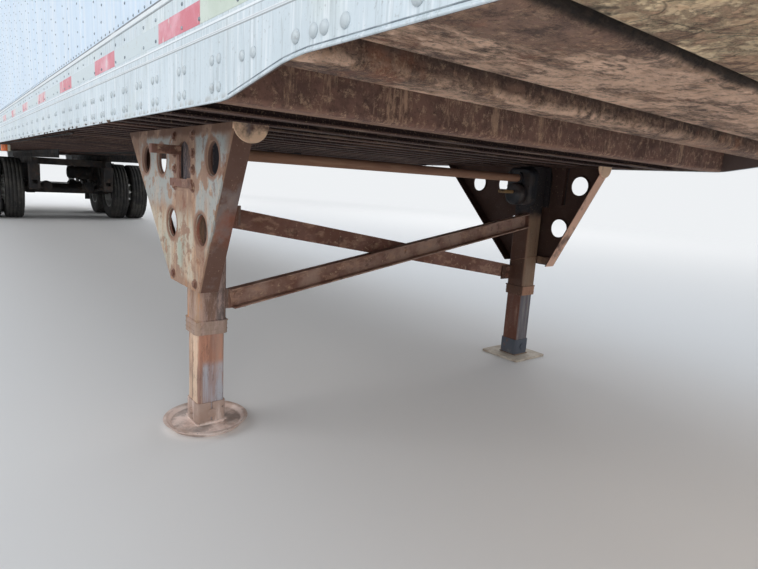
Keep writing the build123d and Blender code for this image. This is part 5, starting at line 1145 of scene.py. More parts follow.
def grown(name, seeds, tree, values, wear, body):
    """A piece that a tree makes from a seed mesh."""
    seed = bpy.data.objects.new(name + " seeds", seeds)
    bpy.context.scene.collection.objects.link(seed)
    modifier = seed.modifiers.new("Grow", "NODES")
    modifier.node_group = tree
    values = dict(values, Finish=FINISHES[wear])
    for item in tree.interface.items_tree:
        if item.in_out == "INPUT" and item.name in values:
            modifier[item.identifier] = values[item.name]
    view = bpy.context.evaluated_depsgraph_get()
    mesh = bpy.data.meshes.new_from_object(seed.evaluated_get(view))
    bpy.data.objects.remove(seed)
    bpy.data.meshes.remove(seeds)
    for attribute in [a for a in mesh.attributes if a.name == "facing"]:
        mesh.attributes.remove(attribute)
    mesh.name = name
    return place(mesh, name, wear, body)


def heads(name, points, radius, rise, wear, body="root", facets=8, rings=4, shape="Domed heads"):
    """Heads at points, each a place and the direction it faces, as one piece."""
    seeds = bpy.data.meshes.new(name + " seeds")
    seeds.from_pydata([p for p, n in points], [], [])
    facing = seeds.attributes.new("facing", "FLOAT_VECTOR", "POINT")
    facing.data.foreach_set("vector", [c for p, n in points for c in n])
    tree = bpy.data.node_groups.get(shape) or heads_tree(shape)
    values = {"Radius": radius, "Rise": rise, "Facets": facets, "Rings": rings}
    return grown(name, seeds, tree, values, wear, body)


def hex_bolts(name, points, radius, wear, body="root"):
    """Hexagon heads on their washers."""
    return heads(name, points, radius, radius * 0.72, wear, body, 12, 4, "Hex bolts")


def beads(name, lines, radius, wear, body="root", ripple=0.25, pitch=0.006, facets=6):
    """Round beads along lines of points, as one piece: welds, rolled edges and fixed pipes."""
    seeds = bpy.data.meshes.new(name + " seeds")
    points = []
    edges = []
    for line in lines:
        first = len(points)
        points.extend(line)
        edges.extend((first + k, first + k + 1) for k in range(len(line) - 1))
    seeds.from_pydata(points, edges, [])
    tree = bpy.data.node_groups.get("Beads") or beads_tree()
    values = {"Radius": radius, "Ripple": ripple, "Pitch": pitch, "Facets": facets}
    return grown(name, seeds, tree, values, wear, body)


def rows(low, high, pitch):
    """Even places from low to high at about a pitch."""
    count = max(1, round((high - low) / pitch))
    return [low + (high - low) * index / count for index in range(count + 1)]


def post_places():
    """Middles of the wall posts, from the rear to the nose."""
    pitch = sizes().post_pitch
    first = LEG_X + 0.378
    behind = int((first - FRAME_FRONT - 0.09) / pitch)
    ahead = int((CORNER_X - 0.08 - first) / pitch)
    return [first + pitch * k for k in range(-behind, ahead + 1)]


def post_pairs():
    """Places of the two rivet columns of each wall post."""
    return [x + off for x in post_places() for off in (-0.058, 0.058)]


# Bolt groups of the cross members, ahead of the legs, then the first of the even ones and their pitch
MEMBER_BOLTS = (0.856, 0.640, 0.421, 0.262, 0.100, -0.058, -0.221, -0.382)
MEMBER_BOLTS += (-0.538, -0.698, -0.862, -1.039, -1.271, -1.510, -1.715)
EVEN_MEMBERS = -1.968
MEMBER_PITCH = 0.254

# Heights of the rails' fasteners above the rail's edge, and half the distance of two bolts of a pair
BOLT_LEVELS = (0.087, 0.029)
STEP_BOLT_LEVEL = 0.077
BAND_LEVEL = 0.239
TAPE_BAND_LEVEL = 0.185
PAIR_OFF = 0.0195

# Larger heads beside the coupler plate: places ahead of the legs, and height above the ground
NOSE_BOLTS = (1.205, 1.262, 1.294, 1.351, 1.511)
NOSE_BOLT_Z = 1.242

# The marking tape's first red stretch ahead of the legs, its height above the rail's edge, and the
# thickness of every tape
TAPE_START = -0.328
TAPE_LEVEL = 0.174
TAPE_THICK = 0.0006

# Places on the body that several pieces share
TOP_RAIL = BODY_TOP - 0.11
HALF_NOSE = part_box("nose_wall")[1].y
NOSE_PANEL_X = BODY_NOSE - 0.004

# The bottom rail's lower edge where it steps up: place ahead of the legs and height above the rail
RAIL_STEP = ((0.8855, 0.0), (0.9242, 0.0034), (1.1594, 0.0455), (1.233, 0.052))


class TRAILER_OT_finishes(bpy.types.Operator):
    """Make every finish and lay it on the CAD nodes"""

    bl_idname = "trailer.finishes"
    bl_label = "Finishes"

    def execute(self, context):
        FINISHES.update(make_finishes())
        for wear, nodes in NODE_FINISHES.items():
            for node in nodes:
                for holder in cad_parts[node].material_slots:
                    holder.material = FINISHES[wear]
        return {"FINISHED"}


class TRAILER_OT_rail_heads(bpy.types.Operator):
    """Set the bolt heads and rivets along the bottom rails"""

    bl_idname = "trailer.rail_heads"
    bl_label = "Rail fasteners"

    def execute(self, context):
        size = sizes()
        member_places = [LEG_X + x for x in MEMBER_BOLTS]
        place_x = LEG_X + EVEN_MEMBERS
        while place_x > FRAME_FRONT + 0.06:
            member_places.append(place_x)
            place_x -= MEMBER_PITCH
        for side_name, side in SIDES.items():
            out = (0.0, side, 0.0)
            face_y = side * HALF
            band_y = side * (HALF + 0.0005)
            bolts = []
            for x in member_places:
                for shift in (-PAIR_OFF, PAIR_OFF):
                    bolts += [((x + shift, face_y, RAIL_BOTTOM + level), out) for level in BOLT_LEVELS]
            bolts += [((LEG_X + x, face_y, RAIL_BOTTOM + STEP_BOLT_LEVEL), out) for x in (0.992, 1.043)]
            nose_places = [LEG_X + x for x in NOSE_BOLTS] + rows(LEG_X + 1.72, CORNER_X - 0.05, 0.16)
            nose = [((x, face_y, NOSE_BOLT_Z), out) for x in nose_places]
            small = [((x, face_y, RAIL_BOTTOM + BAND_LEVEL), out) for x in post_pairs()]
            small += [((x, band_y, RAIL_BOTTOM + TAPE_BAND_LEVEL), out) for x in post_pairs()]
            for name, points, radius, rise, wear, facets in (
                ("rail_bolts", bolts, size.bolt_radius, 0.005, "bolt", 12),
                ("nose_bolts", nose, size.nose_bolt_radius, 0.006, "bolt", 16),
                ("band_rivets", small, size.rivet_radius, 0.003, "rivet", 8),
            ):
                heads(
                    f"{name}_{side_name}", points, radius, rise, wear,
                    facets=facets, rings=facets // 2,
                )
        return {"FINISHED"}


class TRAILER_OT_wall_rivets(bpy.types.Operator):
    """Set the paired rivet columns of the wall posts and the rows of the top rails"""

    bl_idname = "trailer.wall_rivets"
    bl_label = "Wall rivets"

    def execute(self, context):
        size = sizes()
        rise = 0.0028
        for side_name, side in SIDES.items():
            out = (0.0, side, 0.0)
            face_y = side * WALL_OUTER
            points = []
            for column, x in enumerate(post_pairs()):
                levels = rows(RAIL_TOP + 0.045, TOP_RAIL - 0.04, size.wall_rivet_pitch)
                for index, z in enumerate(levels):
                    lean = 0.006 if index % 2 else -0.006
                    points.append(((x + lean, face_y, z + 0.02 * (column % 2)), out))
            for x in rows(FRAME_FRONT + 0.02, CORNER_X - 0.02, 0.060):
                points += [((x, face_y, z), out) for z in (RAIL_TOP + 0.013, TOP_RAIL + 0.02)]
            heads(
                f"wall_rivets_{side_name}", points, size.rivet_radius, rise, "rivet",
                facets=5, rings=3,
            )
        nose = []
        for y in rows(-HALF_NOSE + 0.08, HALF_NOSE - 0.08, 0.4):
            nose += [((NOSE_PANEL_X, y, z), AHEAD) for z in rows(RAIL_TOP + 0.04, TOP_RAIL - 0.04, 0.1)]
        for y in rows(-HALF_NOSE + 0.03, HALF_NOSE - 0.03, 0.075):
            nose += [((BODY_NOSE, y, z), AHEAD) for z in (RAIL_TOP - 0.03, TOP_RAIL + 0.02)]
        heads("nose_rivets", nose, size.rivet_radius, rise, "rivet", facets=6, rings=4)
        return {"FINISHED"}


class TRAILER_OT_tape(bpy.types.Operator):
    """Lay the marking tape along the rails"""

    bl_idname = "trailer.tape"
    bl_label = "Marking tape"

    def execute(self, context):
        size = sizes()
        low_z = RAIL_BOTTOM + TAPE_LEVEL
        for side_name, side in SIDES.items():
            bm = bmesh.new()
            start = LEG_X + TAPE_START - 18 * size.tape_period
            while start < CORNER_X:
                ends = (start, start + size.tape_red, start + size.tape_period)
                for first, last in zip(ends, ends[1:]):
                    first = max(first, FRAME_FRONT + 0.01)
                    last = min(last, CORNER_X - 0.02)
                    if last - first > 0.02:
                        low = (first + 0.0004, side * HALF, low_z)
                        high = (last - 0.0004, side * (HALF + TAPE_THICK), low_z + size.tape_height)
                        add_block(bm, low, high)
                start += size.tape_period
            settle(bm, f"side_tape_{side_name}", "tape")
        return {"FINISHED"}


class TRAILER_OT_body_trim(bpy.types.Operator):
    """Add the rails' edges and hanging dirt, the sheet seams and the nose's fittings"""

    bl_idname = "trailer.body_trim"
    bl_label = "Body trim"

    def execute(self, context):
        dirt = random.Random(7)
        seams = bmesh.new()
        edges = []
        grooves = []
        lumps = []
        posts = post_places()
        step = [(FRAME_FRONT + 0.01, 0.0)]
        step += [(LEG_X + x, rise) for x, rise in RAIL_STEP]
        step.append((CORNER_X, RAIL_STEP[-1][1]))
        for side in (1, -1):
            edges.append([(x, side * (HALF + 0.0002), RAIL_BOTTOM + rise) for x, rise in step])
            grooves.append([(x, side * HALF, RAIL_BOTTOM + rise + 0.0065) for x, rise in step[2:]])
            x = LEG_X - 0.10
            while x > LEG_X - 3.0:
                spot = (x, side * (HALF + 0.0004), RAIL_BOTTOM + dirt.uniform(-0.001, 0.005))
                lumps.append((spot, (0.0, side * 0.8, -0.6)))
                x -= dirt.choice((0.012, 0.03, 0.09, 0.2)) * dirt.uniform(0.7, 1.2)
            for x in posts[3:-1:4]:
                add_block(
                    seams,
                    (x - 0.02, side * WALL_OUTER, RAIL_TOP + 0.004),
                    (x + 0.02, side * (WALL_OUTER + 0.0012), BODY_TOP - 0.112),
                )
        beads("rail_edges", edges, 0.0026, "posts", ripple=0.0, pitch=0.04)
        beads("rail_grooves", grooves, 0.0012, "rivet", ripple=0.0, pitch=0.04)
        heads("hanging_dirt", lumps, 0.0055, 0.005, "crust", facets=6, rings=5)
        for y in rows(-HALF_NOSE + 0.08, HALF_NOSE - 0.08, 0.8):
            low = (NOSE_PANEL_X, y - 0.02, RAIL_TOP + 0.02)
            add_block(seams, low, (NOSE_PANEL_X + 0.0012, y + 0.02, BODY_TOP - 0.12))
        for x in rows(FRAME_FRONT + 0.1, CORNER_X - 0.1, 2.44)[1:-1]:
            add_block(seams, (x - 0.03, -1.21, ROOF_TOP), (x + 0.03, 1.21, ROOF_TOP + 0.0015))
        settle(seams, "sheet_seams", "walls")
        up = (0.0, 0.0, 1.0)
        roof = []
        for y in (-1.225, 1.225):
            roof += [((x, y, ROOF_TOP), up) for x in rows(FRAME_FRONT + 0.05, 7.95, 0.1)]
        rivet = sizes().rivet_radius
        heads("roof_rivets", roof, rivet, 0.0026, "rivet", facets=6, rings=4)
        self.nose_fittings()
        return {"FINISHED"}

    def nose_fittings(self):
        """The socket's lid, the two air couplings, the box bolts and the blank document box."""
        bm = bmesh.new()
        add_rod(bm, (BOX_FACE_X - 0.012, 0.0, BOX_Z), (BOX_FACE_X + 0.006, 0.0, BOX_Z), 0.046, 32)
        add_slab(bm, (BOX_FACE_X + 0.003, 0.0, BOX_Z + 0.045), 0.05, 0.02, 0.004, 0.012, "x")
        pin = [(BOX_FACE_X + 0.006, y, BOX_Z + 0.05) for y in (-0.03, 0.03)]
        add_rod(bm, *pin, 0.005, 12)
        settle(bm, "socket_lid", "galvanised")
        for name, y in (("red_coupling", -0.18), ("blue_coupling", 0.18)):
            bm = bmesh.new()
            add_rod(bm, (BOX_FACE_X - 0.028, y, BOX_Z), (BOX_FACE_X + 0.004, y, BOX_Z), 0.024, 24)
            add_slab(bm, (BOX_FACE_X + 0.009, y, BOX_Z - 0.006), 0.052, 0.07, 0.016, 0.016, "x")
            add_rod(bm, (BOX_FACE_X + 0.012, y, BOX_Z), (BOX_FACE_X + 0.021, y, BOX_Z), 0.016, 24)
            settle(bm, name, name)
        corners = [(side * 0.235, BOX_Z + up * 0.062) for side in (-1, 1) for up in (-1, 1)]
        corners += [(y, BOX_Z + up * 0.068) for y in (-0.09, 0.09) for up in (-1, 1)]
        bolts = [((BOX_FACE_X, y, z), AHEAD) for y, z in corners]
        hex_bolts("nose_box_bolts", bolts, 0.006, "galvanised")
        bm = bmesh.new()
        add_slab(bm, (NOSE_PANEL_X + 0.014, 0.72, BOX_Z + 0.14), 0.30, 0.36, 0.03, 0.028, "x")
        add_slab(bm, (NOSE_PANEL_X + 0.029, 0.72, BOX_Z + 0.14), 0.27, 0.33, 0.022, 0.004, "x")
        settle(bm, "document_box", "white_tape")


def face_loop(x, y, z, width, depth):
    """Corners of a level rectangle round a place, closed."""
    corners = ((1, 1), (-1, 1), (-1, -1), (1, -1), (1, 1))
    return [(x + width / 2 * a, y + depth / 2 * b, z) for a, b in corners]


# Heights of the braces' ends and of their crossing, where the braces meet the legs across the body,
# and half the width of an outer leg tube
BRACE_HIGH = 0.842
BRACE_LOW = 0.520
BRACE_MIDDLE = 0.681
BRACE_Y = 0.882
TUBE_HALF = 0.060

# Heights of the collars' grooves, the feet's pins, the plates' bolts and their foot bolts, the wire,
# the gearboxes' middle and the gear cover's middle
GROOVE_LEVELS = (0.4045, 0.4235)
PIN_Z = 0.062
PLATE_BOLT_LEVELS = (1.131, 1.070, 1.012, 0.950)
FOOT_BOLT_Z = 0.604
WIRE_Z = 0.600
GEARBOX_Z = 1.0335
COVER_Z = 1.080


class TRAILER_OT_landing_gear(bpy.types.Operator):
    """Set the landing gear's bolts, welds, collar lines, pins and wire"""

    bl_idname = "trailer.landing_gear"
    bl_label = "Landing gear trim"

    def execute(self, context):
        self.bolts()
        self.welds()
        bm = bmesh.new()
        for side in (1, -1):
            for z in GROOVE_LEVELS:
                add_slab(bm, (LEG_X, side * LEG_Y, z), 0.1325, 0.1325, 0.021, 0.0035, "z")
        settle(bm, "collar_lines", "leg")
        for name, side, wear in (("left", 1, "square_foot"), ("right", -1, "pad")):
            bm = bmesh.new()
            for way in (-1, 1):
                ends = [(LEG_X + way * reach, side * LEG_Y, PIN_Z) for reach in (0.0595, 0.0635)]
                add_rod(bm, *ends, 0.017, 20)
            settle(bm, f"pin_washers_{name}", wear)
        bm = bmesh.new()
        add_rod(bm, (LEG_X - 0.037, 0.0, BRACE_MIDDLE), (LEG_X + 0.037, 0.0, BRACE_MIDDLE), 0.017)
        settle(bm, "brace_spacer", "brace")
        bm = bmesh.new()
        seam_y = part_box("gearboxes")[1].y - 0.030
        add_slab(bm, (LEG_X, seam_y, GEARBOX_Z), 0.1775, 0.2175, 0.046, 0.0045, "y")
        settle(bm, "gearbox_seam", "iron")
        self.wire()
        return {"FINISHED"}

    def bolts(self):
        """Hexagon heads of the plates, gearboxes and braces."""
        plates = []
        for side in (1, -1):
            out = (0.0, side, 0.0)
            face_y = side * WING_OUTER
            for off in (-0.097, 0.097):
                plates += [((LEG_X + off, face_y, z), out) for z in PLATE_BOLT_LEVELS]
            for off in (-0.119, 0.119):
                plates.append(((LEG_X + off, face_y, FOOT_BOLT_Z), out))
        hex_bolts("plate_bolts", plates, 0.0125, "brace")
        boxes = []
        inboard = (0.0, -1.0, 0.0)
        for off in (-0.068, 0.068):
            boxes += [((LEG_X + off, 0.863, z), inboard) for z in (0.952, 1.033, 1.112)]
        for turn in (math.radians(angle) for angle in (45, 135, 225, 315)):
            spot = (LEG_X + 0.034 * math.cos(turn), -0.887, COVER_Z + 0.034 * math.sin(turn))
            boxes.append((spot, (0.0, 1.0, 0.0)))
        hex_bolts("gearbox_bolts", boxes, 0.0075, "iron")
        ends = []
        for side, front_z, rear_z in ((1, BRACE_HIGH, BRACE_LOW), (-1, BRACE_LOW, BRACE_HIGH)):
            for off in (-0.02, 0.02):
                slope = 0.17 * off
                ends.append(((LEG_X + 0.043, side * BRACE_Y, front_z + off), AHEAD))
                ends.append(((LEG_X - 0.027, side * (BRACE_Y + slope), rear_z + off), AHEAD))
                ends.append(((LEG_X - 0.043, side * BRACE_Y, rear_z + off), BACK))
        ends.append(((LEG_X + 0.043, 0.0, BRACE_MIDDLE), AHEAD))
        ends.append(((LEG_X - 0.043, 0.0, BRACE_MIDDLE), BACK))
        hex_bolts("brace_bolts", ends, 0.0105, "brace")

    def welds(self):
        """Beads round the collars and feet, and along the lugs, blocks and gussets."""
        lines = []
        for side in (1, -1):
            leg_y = side * LEG_Y
            lines.append(face_loop(LEG_X, leg_y, 0.4405, 0.121, 0.121))
            inner_y = side * (LEG_Y - TUBE_HALF)
            for face in (1, -1):
                lug_z = BRACE_HIGH if side == face else BRACE_LOW
                for off in (-0.006, 0.006):
                    x = LEG_X + face * 0.032 + off
                    lines.append([(x, inner_y, lug_z - 0.04), (x, inner_y, lug_z + 0.04)])
            block_y = side * (LEG_Y + TUBE_HALF)
            for off in (-0.061, 0.061):
                lines.append([(LEG_X + off, block_y, 0.584), (LEG_X + off, block_y, 0.624)])
            plate_y = side * (LEG_Y + 0.080)
            for face in (1, -1):
                for ends in (((0.088, 1.152), (0.159, 0.942)), ((0.190, 1.152), (0.185, 0.942))):
                    lines.append([(LEG_X + face * x, plate_y, z) for x, z in ends])
        lines.append(face_loop(LEG_X, LEG_Y, 0.0125, 0.119, 0.119))
        beads("leg_welds", lines, 0.0035, "leg")
        lines = [face_loop(LEG_X, -LEG_Y, 0.0255, 0.119, 0.119)]
        beads("pad_weld", lines, 0.0035, "pad")

    def wire(self):
        """A thin old wire tied round the road leg."""
        loop = []
        for index in range(25):
            turn = 2 * math.pi * index / 24
            reach = 0.0625 / max(abs(math.cos(turn)), abs(math.sin(turn)))
            reach = min(reach, 0.081)
            z = WIRE_Z + 0.022 * math.cos(turn)
            loop.append((LEG_X + reach * math.cos(turn), LEG_Y + reach * math.sin(turn), z))
        beads("leg_wire", [loop], 0.0015, "shaft", ripple=0.0, pitch=0.012)


# Heights of the hinge straps and of the lock rods' guides, places of the rods and height of the handles
HINGE_LEVELS = (1.654, 2.312, 2.970, 3.628)
GUIDE_LEVELS = [DOOR_BOTTOM + (DOOR_TOP - DOOR_BOTTOM) * share for share in (0.04, 0.35, 0.65, 0.96)]
ROD_PLACES = (0.942, 0.402)
ROD_X = -8.0795
HANDLE_Z = 1.450

# Edges of a door's panel across the body, width of its seal, and the rivets' distance from its edges
LEAF_LOW = 0.0052
LEAF_HIGH = DOOR_EDGE - 0.0002
SEAL = 0.022
RIVET_INSET = 0.045


class TRAILER_OT_door_trim(bpy.types.Operator):
    """Set the doors' seals, rivets, strap bolts, handle catches and tape"""

    bl_idname = "trailer.door_trim"
    bl_label = "Door trim"

    def execute(self, context):
        for side_name, side in SIDES.items():
            body = f"door_{side_name}"
            self.seals(side_name, side, body)
            self.rivets(side_name, side, body)
            self.bolts(side_name, side, body)
            self.catches(side_name, side, body)
            self.tape(side_name, side, body)
        return {"FINISHED"}

    def seals(self, side_name, side, body):
        """The rubber seal round a door, cut where the hinge straps cross it."""
        inner, outer = LEAF_LOW + SEAL, LEAF_HIGH - SEAL
        cuts = [DOOR_BOTTOM]
        for level in HINGE_LEVELS:
            cuts += [level - 0.036, level + 0.036]
        cuts.append(DOOR_TOP)
        spans = [((LEAF_LOW, DOOR_BOTTOM), (inner, DOOR_TOP))]
        spans += [((outer, start), (LEAF_HIGH, end)) for start, end in zip(cuts[::2], cuts[1::2])]
        spans.append(((inner, DOOR_BOTTOM), (outer, DOOR_BOTTOM + SEAL)))
        spans.append(((inner, DOOR_TOP - SEAL), (outer, DOOR_TOP)))
        bm = bmesh.new()
        for (low_y, low_z), (high_y, high_z) in spans:
            low = (DOOR_OUT_X + 0.0005, side * low_y, low_z)
            add_block(bm, low, (DOOR_OUT_X - 0.004, side * high_y, high_z))
        settle(bm, f"door_seals_{side_name}", "rubber", body)

    def rivets(self, side_name, side, body):
        """Rivets along a door's edges, clear of the hinge straps and the lock rods."""
        low_y, high_y = LEAF_LOW + RIVET_INSET, LEAF_HIGH - RIVET_INSET
        low_z, high_z = DOOR_BOTTOM + RIVET_INSET, DOOR_TOP - RIVET_INSET
        places = [(y, z) for y in (low_y, high_y) for z in rows(low_z, high_z, 0.1)]
        places += [(y, z) for y in rows(low_y, high_y, 0.1)[1:-1] for z in (low_z, high_z)]
        spots = []
        for y, z in places:
            strapped = y > 1.03 and any(abs(z - level) < 0.045 for level in HINGE_LEVELS)
            if not strapped and all(abs(y - rod_y) > 0.03 for rod_y in ROD_PLACES):
                spots.append(((DOOR_OUT_X, side * y, z), BACK))
        heads(f"door_rivets_{side_name}", spots, 0.006, 0.0028, "rivet", body)

    def bolts(self, side_name, side, body):
        """Bolts of a door's hinge straps and rod guides."""
        strap_x, guide_x = DOOR_OUT_X - 0.008, DOOR_OUT_X - 0.004
        bolts = [((strap_x, side * y, z), BACK) for z in HINGE_LEVELS for y in (1.065, 1.100, 1.135)]
        for y in ROD_PLACES:
            for z in GUIDE_LEVELS:
                bolts += [((guide_x, side * (y + off), z), BACK) for off in (-0.036, 0.036)]
        hex_bolts(f"door_bolts_{side_name}", bolts, 0.008, "galvanised", body)

    def catches(self, side_name, side, body):
        """Guide plates, handle catches and rod collars of a door."""
        collars = (
            (DOOR_BOTTOM + 0.012, 0.010, 0.0155),
            (DOOR_TOP - 0.012, 0.010, 0.0155),
            (HANDLE_Z, 0.028, 0.0165),
        )
        bm = bmesh.new()
        for y in ROD_PLACES:
            for z in GUIDE_LEVELS:
                add_slab(bm, (DOOR_OUT_X - 0.002, side * y, z), 0.11, 0.056, 0.01, 0.004, "x")
            catch_y = side * (y - 0.30)
            add_slab(bm, (DOOR_OUT_X - 0.003, catch_y, HANDLE_Z), 0.075, 0.095, 0.012, 0.006, "x")
            for z in (HANDLE_Z - 0.026, HANDLE_Z + 0.026):
                low = (DOOR_OUT_X - 0.004, catch_y - 0.02, z - 0.005)
                add_block(bm, low, (DOOR_OUT_X - 0.040, catch_y + 0.02, z + 0.005), 0.002)
            for z, half, radius in collars:
                add_rod(bm, (ROD_X, side * y, z - half), (ROD_X, side * y, z + half), radius, 20)
        settle(bm, f"door_catches_{side_name}", "galvanised", body)

    def tape(self, side_name, side, body):
        """Marking tape along a door's foot, cut where the lock rods cross it."""
        low_z = DOOR_BOTTOM + 0.20
        high_z = low_z + sizes().tape_height
        cuts = [0.055]
        for y in sorted(ROD_PLACES):
            cuts += [y - 0.045, y + 0.045]
        cuts.append(1.13)
        bm = bmesh.new()
        for start, end in zip(cuts[::2], cuts[1::2]):
            low = (DOOR_OUT_X + 0.0003, side * start, low_z)
            add_block(bm, low, (DOOR_OUT_X - TAPE_THICK, side * end, high_z))
        settle(bm, f"door_tape_{side_name}", "rear_tape", body)


# Places on the rear frame: height of the lamps and the plate, the plate's middle across the body, the
# face of the dock bumpers, and height of the guard's welds
LAMP_Z = 1.2295
PLATE_Y = 0.28
BUMPER_X = -8.135
GUARD_WELD_Z = 0.5502


class TRAILER_OT_rear_trim(bpy.types.Operator):
    """Set the rear frame's tape, the lamp bezels, the blank plate and the guard's bolts"""

    bl_idname = "trailer.rear_trim"
    bl_label = "Rear trim"

    def execute(self, context):
        self.tape()
        self.lamps_and_plate()
        self.fasteners()
        self.welds()
        return {"FINISHED"}

    def tape(self):
        """White tape at the frame's upper corners, and marking tape along the guard."""
        bm = bmesh.new()
        for side in (1, -1):
            for (low_y, low_z), (high_y, high_z) in (
                ((0.98, 4.0615), (1.128, 4.1123)),
                ((1.245, 3.78), (1.2908, 4.0615)),
                ((1.252, 4.0615), (1.2908, 4.1123)),
            ):
                low = (BODY_REAR, side * low_y, low_z)
                add_block(bm, low, (BODY_REAR - TAPE_THICK, side * high_y, high_z))
        settle(bm, "corner_tape", "white_tape")
        low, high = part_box("underride_guard")
        bm = bmesh.new()
        add_block(
            bm,
            (low.x, -high.y + 0.03, GUARD_BOTTOM + 0.025),
            (low.x - TAPE_THICK, high.y - 0.03, GUARD_BOTTOM + 0.0758),
        )
        settle(bm, "guard_tape", "rear_tape")

    def lamps_and_plate(self):
        """Rubber rings round the rear lamps, and the bare plate on its bracket."""
        ring = [(0.0515, 0.0), (0.060, 0.0), (0.060, 0.006), (0.056, 0.009), (0.0515, 0.009)]
        bm = bmesh.new()
        for side in (1, -1):
            for y in (0.56, 0.69, 0.82):
                add_bezel(bm, BODY_REAR, side * y, LAMP_Z, ring)
        settle(bm, "lamp_grommets", "rubber", smooth=True)
        bm = bmesh.new()
        add_slab(bm, (BODY_REAR - 0.003, PLATE_Y, LAMP_Z), 0.34, 0.155, 0.012, 0.006, "x")
        settle(bm, "plate_bracket", "rubber")
        bm = bmesh.new()
        add_slab(bm, (BODY_REAR - 0.0072, PLATE_Y, LAMP_Z), 0.305, 0.118, 0.012, 0.0025, "x")
        settle(bm, "blank_plate", "white_tape")

    def fasteners(self):
        """Bolts of the plate, guard and bumpers, and rivets of the frame's posts and head."""
        guard_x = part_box("underride_guard")[0].x
        bolts = [((BODY_REAR - 0.0084, PLATE_Y + off, 1.277), BACK) for off in (-0.09, 0.09)]
        for side in (1, -1):
            bolts += [((guard_x, side * y, GUARD_BOTTOM + 0.088), BACK) for y in (0.52, 0.58)]
            for off in (-0.085, 0.085):
                bolts += [((BUMPER_X, side * (1.065 + off), z), BACK) for z in (1.192, 1.232)]
        hex_bolts("rear_bolts", bolts, 0.0075, "galvanised")
        points = [((BODY_REAR, y, z), BACK) for y in (1.236, -1.236) for z in rows(1.36, 3.74, 0.2)]
        points += [((BODY_REAR, y, 4.098), BACK) for y in rows(-0.42, 0.42, 0.12)[::2]]
        heads("rear_frame_rivets", points, 0.007, 0.003, "galvanised")

    def welds(self):
        """Beads where the guard's posts meet its bar."""
        guard_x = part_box("underride_guard")[0].x + 0.001
        lines = []
        for side in (1, -1):
            for off in (-0.05, 0.05):
                lines.append([(x, side * 0.55 + off, GUARD_WELD_Z) for x in (-8.06, -7.99)])
            lines.append([(guard_x, side * y, GUARD_WELD_Z) for y in (0.50, 0.60)])
        beads("guard_welds", lines, 0.0035, "galvanised")


# Length of a lining sheet along the body, and heights above the ground where the side lining, the
# posts and the nose lining end
SHEET = 1.22
LINING_TOP = 3.92
POST_TOP = 3.98
NOSE_LINING_TOP = 3.7


class TRAILER_OT_load_space(bpy.types.Operator):
    """Line the load space: plywood, scuff strips, posts and roof bows"""

    bl_idname = "trailer.load_space"
    bl_label = "Load space lining"

    def execute(self, context):
        rear_x, nose_x = FRAME_FRONT + 0.02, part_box("nose_wall")[0].x - 0.02
        lining = bmesh.new()
        scuffs = bmesh.new()
        posts = bmesh.new()
        for side in (1, -1):
            for start in rows(rear_x, nose_x - 0.05, SHEET)[:-1]:
                end = min(start + SHEET - 0.01, nose_x - 0.05)
                add_block(
                    lining,
                    (start, side * (WALL_INNER - 0.002), FLOOR_TOP + 0.31),
                    (end, side * (WALL_INNER - 0.008), LINING_TOP),
                )
            add_block(
                scuffs,
                (rear_x, side * WALL_INNER, FLOOR_TOP + 0.001),
                (nose_x - 0.05, side * (WALL_INNER - 0.003), FLOOR_TOP + 0.305),
            )
            for x in rows(rear_x + 0.03, nose_x - 0.1, SHEET):
                add_block(
                    posts,
                    (x - 0.025, side * WALL_INNER, FLOOR_TOP + 0.306),
                    (x + 0.025, side * (WALL_INNER - 0.010), POST_TOP),
                )
        for x in rows(rear_x + 0.2, nose_x - 0.2, 0.61):
            low = (x - 0.02, -WALL_INNER + 0.001, ROOF_BOTTOM - 0.012)
            add_block(posts, low, (x + 0.02, WALL_INNER - 0.001, ROOF_BOTTOM + 0.001))
        settle(lining, "plywood_lining", "plywood")
        settle(scuffs, "scuff_strips", "galvanised")
        settle(posts, "liner_posts_and_bows", "galvanised")
        bm = bmesh.new()
        for low_y, high_y in ((-1.16, -0.39), (-0.385, 0.385), (0.39, 1.16)):
            low = (nose_x + 0.02, low_y, FLOOR_TOP + 0.31)
            add_block(bm, low, (nose_x + 0.012, high_y, NOSE_LINING_TOP))
        settle(bm, "nose_lining", "plywood")
        return {"FINISHED"}


# Hanger middles along the body, and heights of their bolts and of the fixed lines under the floor
HANGER_PLACES = (-4.5625, -5.8075, -7.0525)
HANGER_BOLT_Z = 0.560
AIR_LINE_Z = 1.1555
WIRING_Z = 1.1585


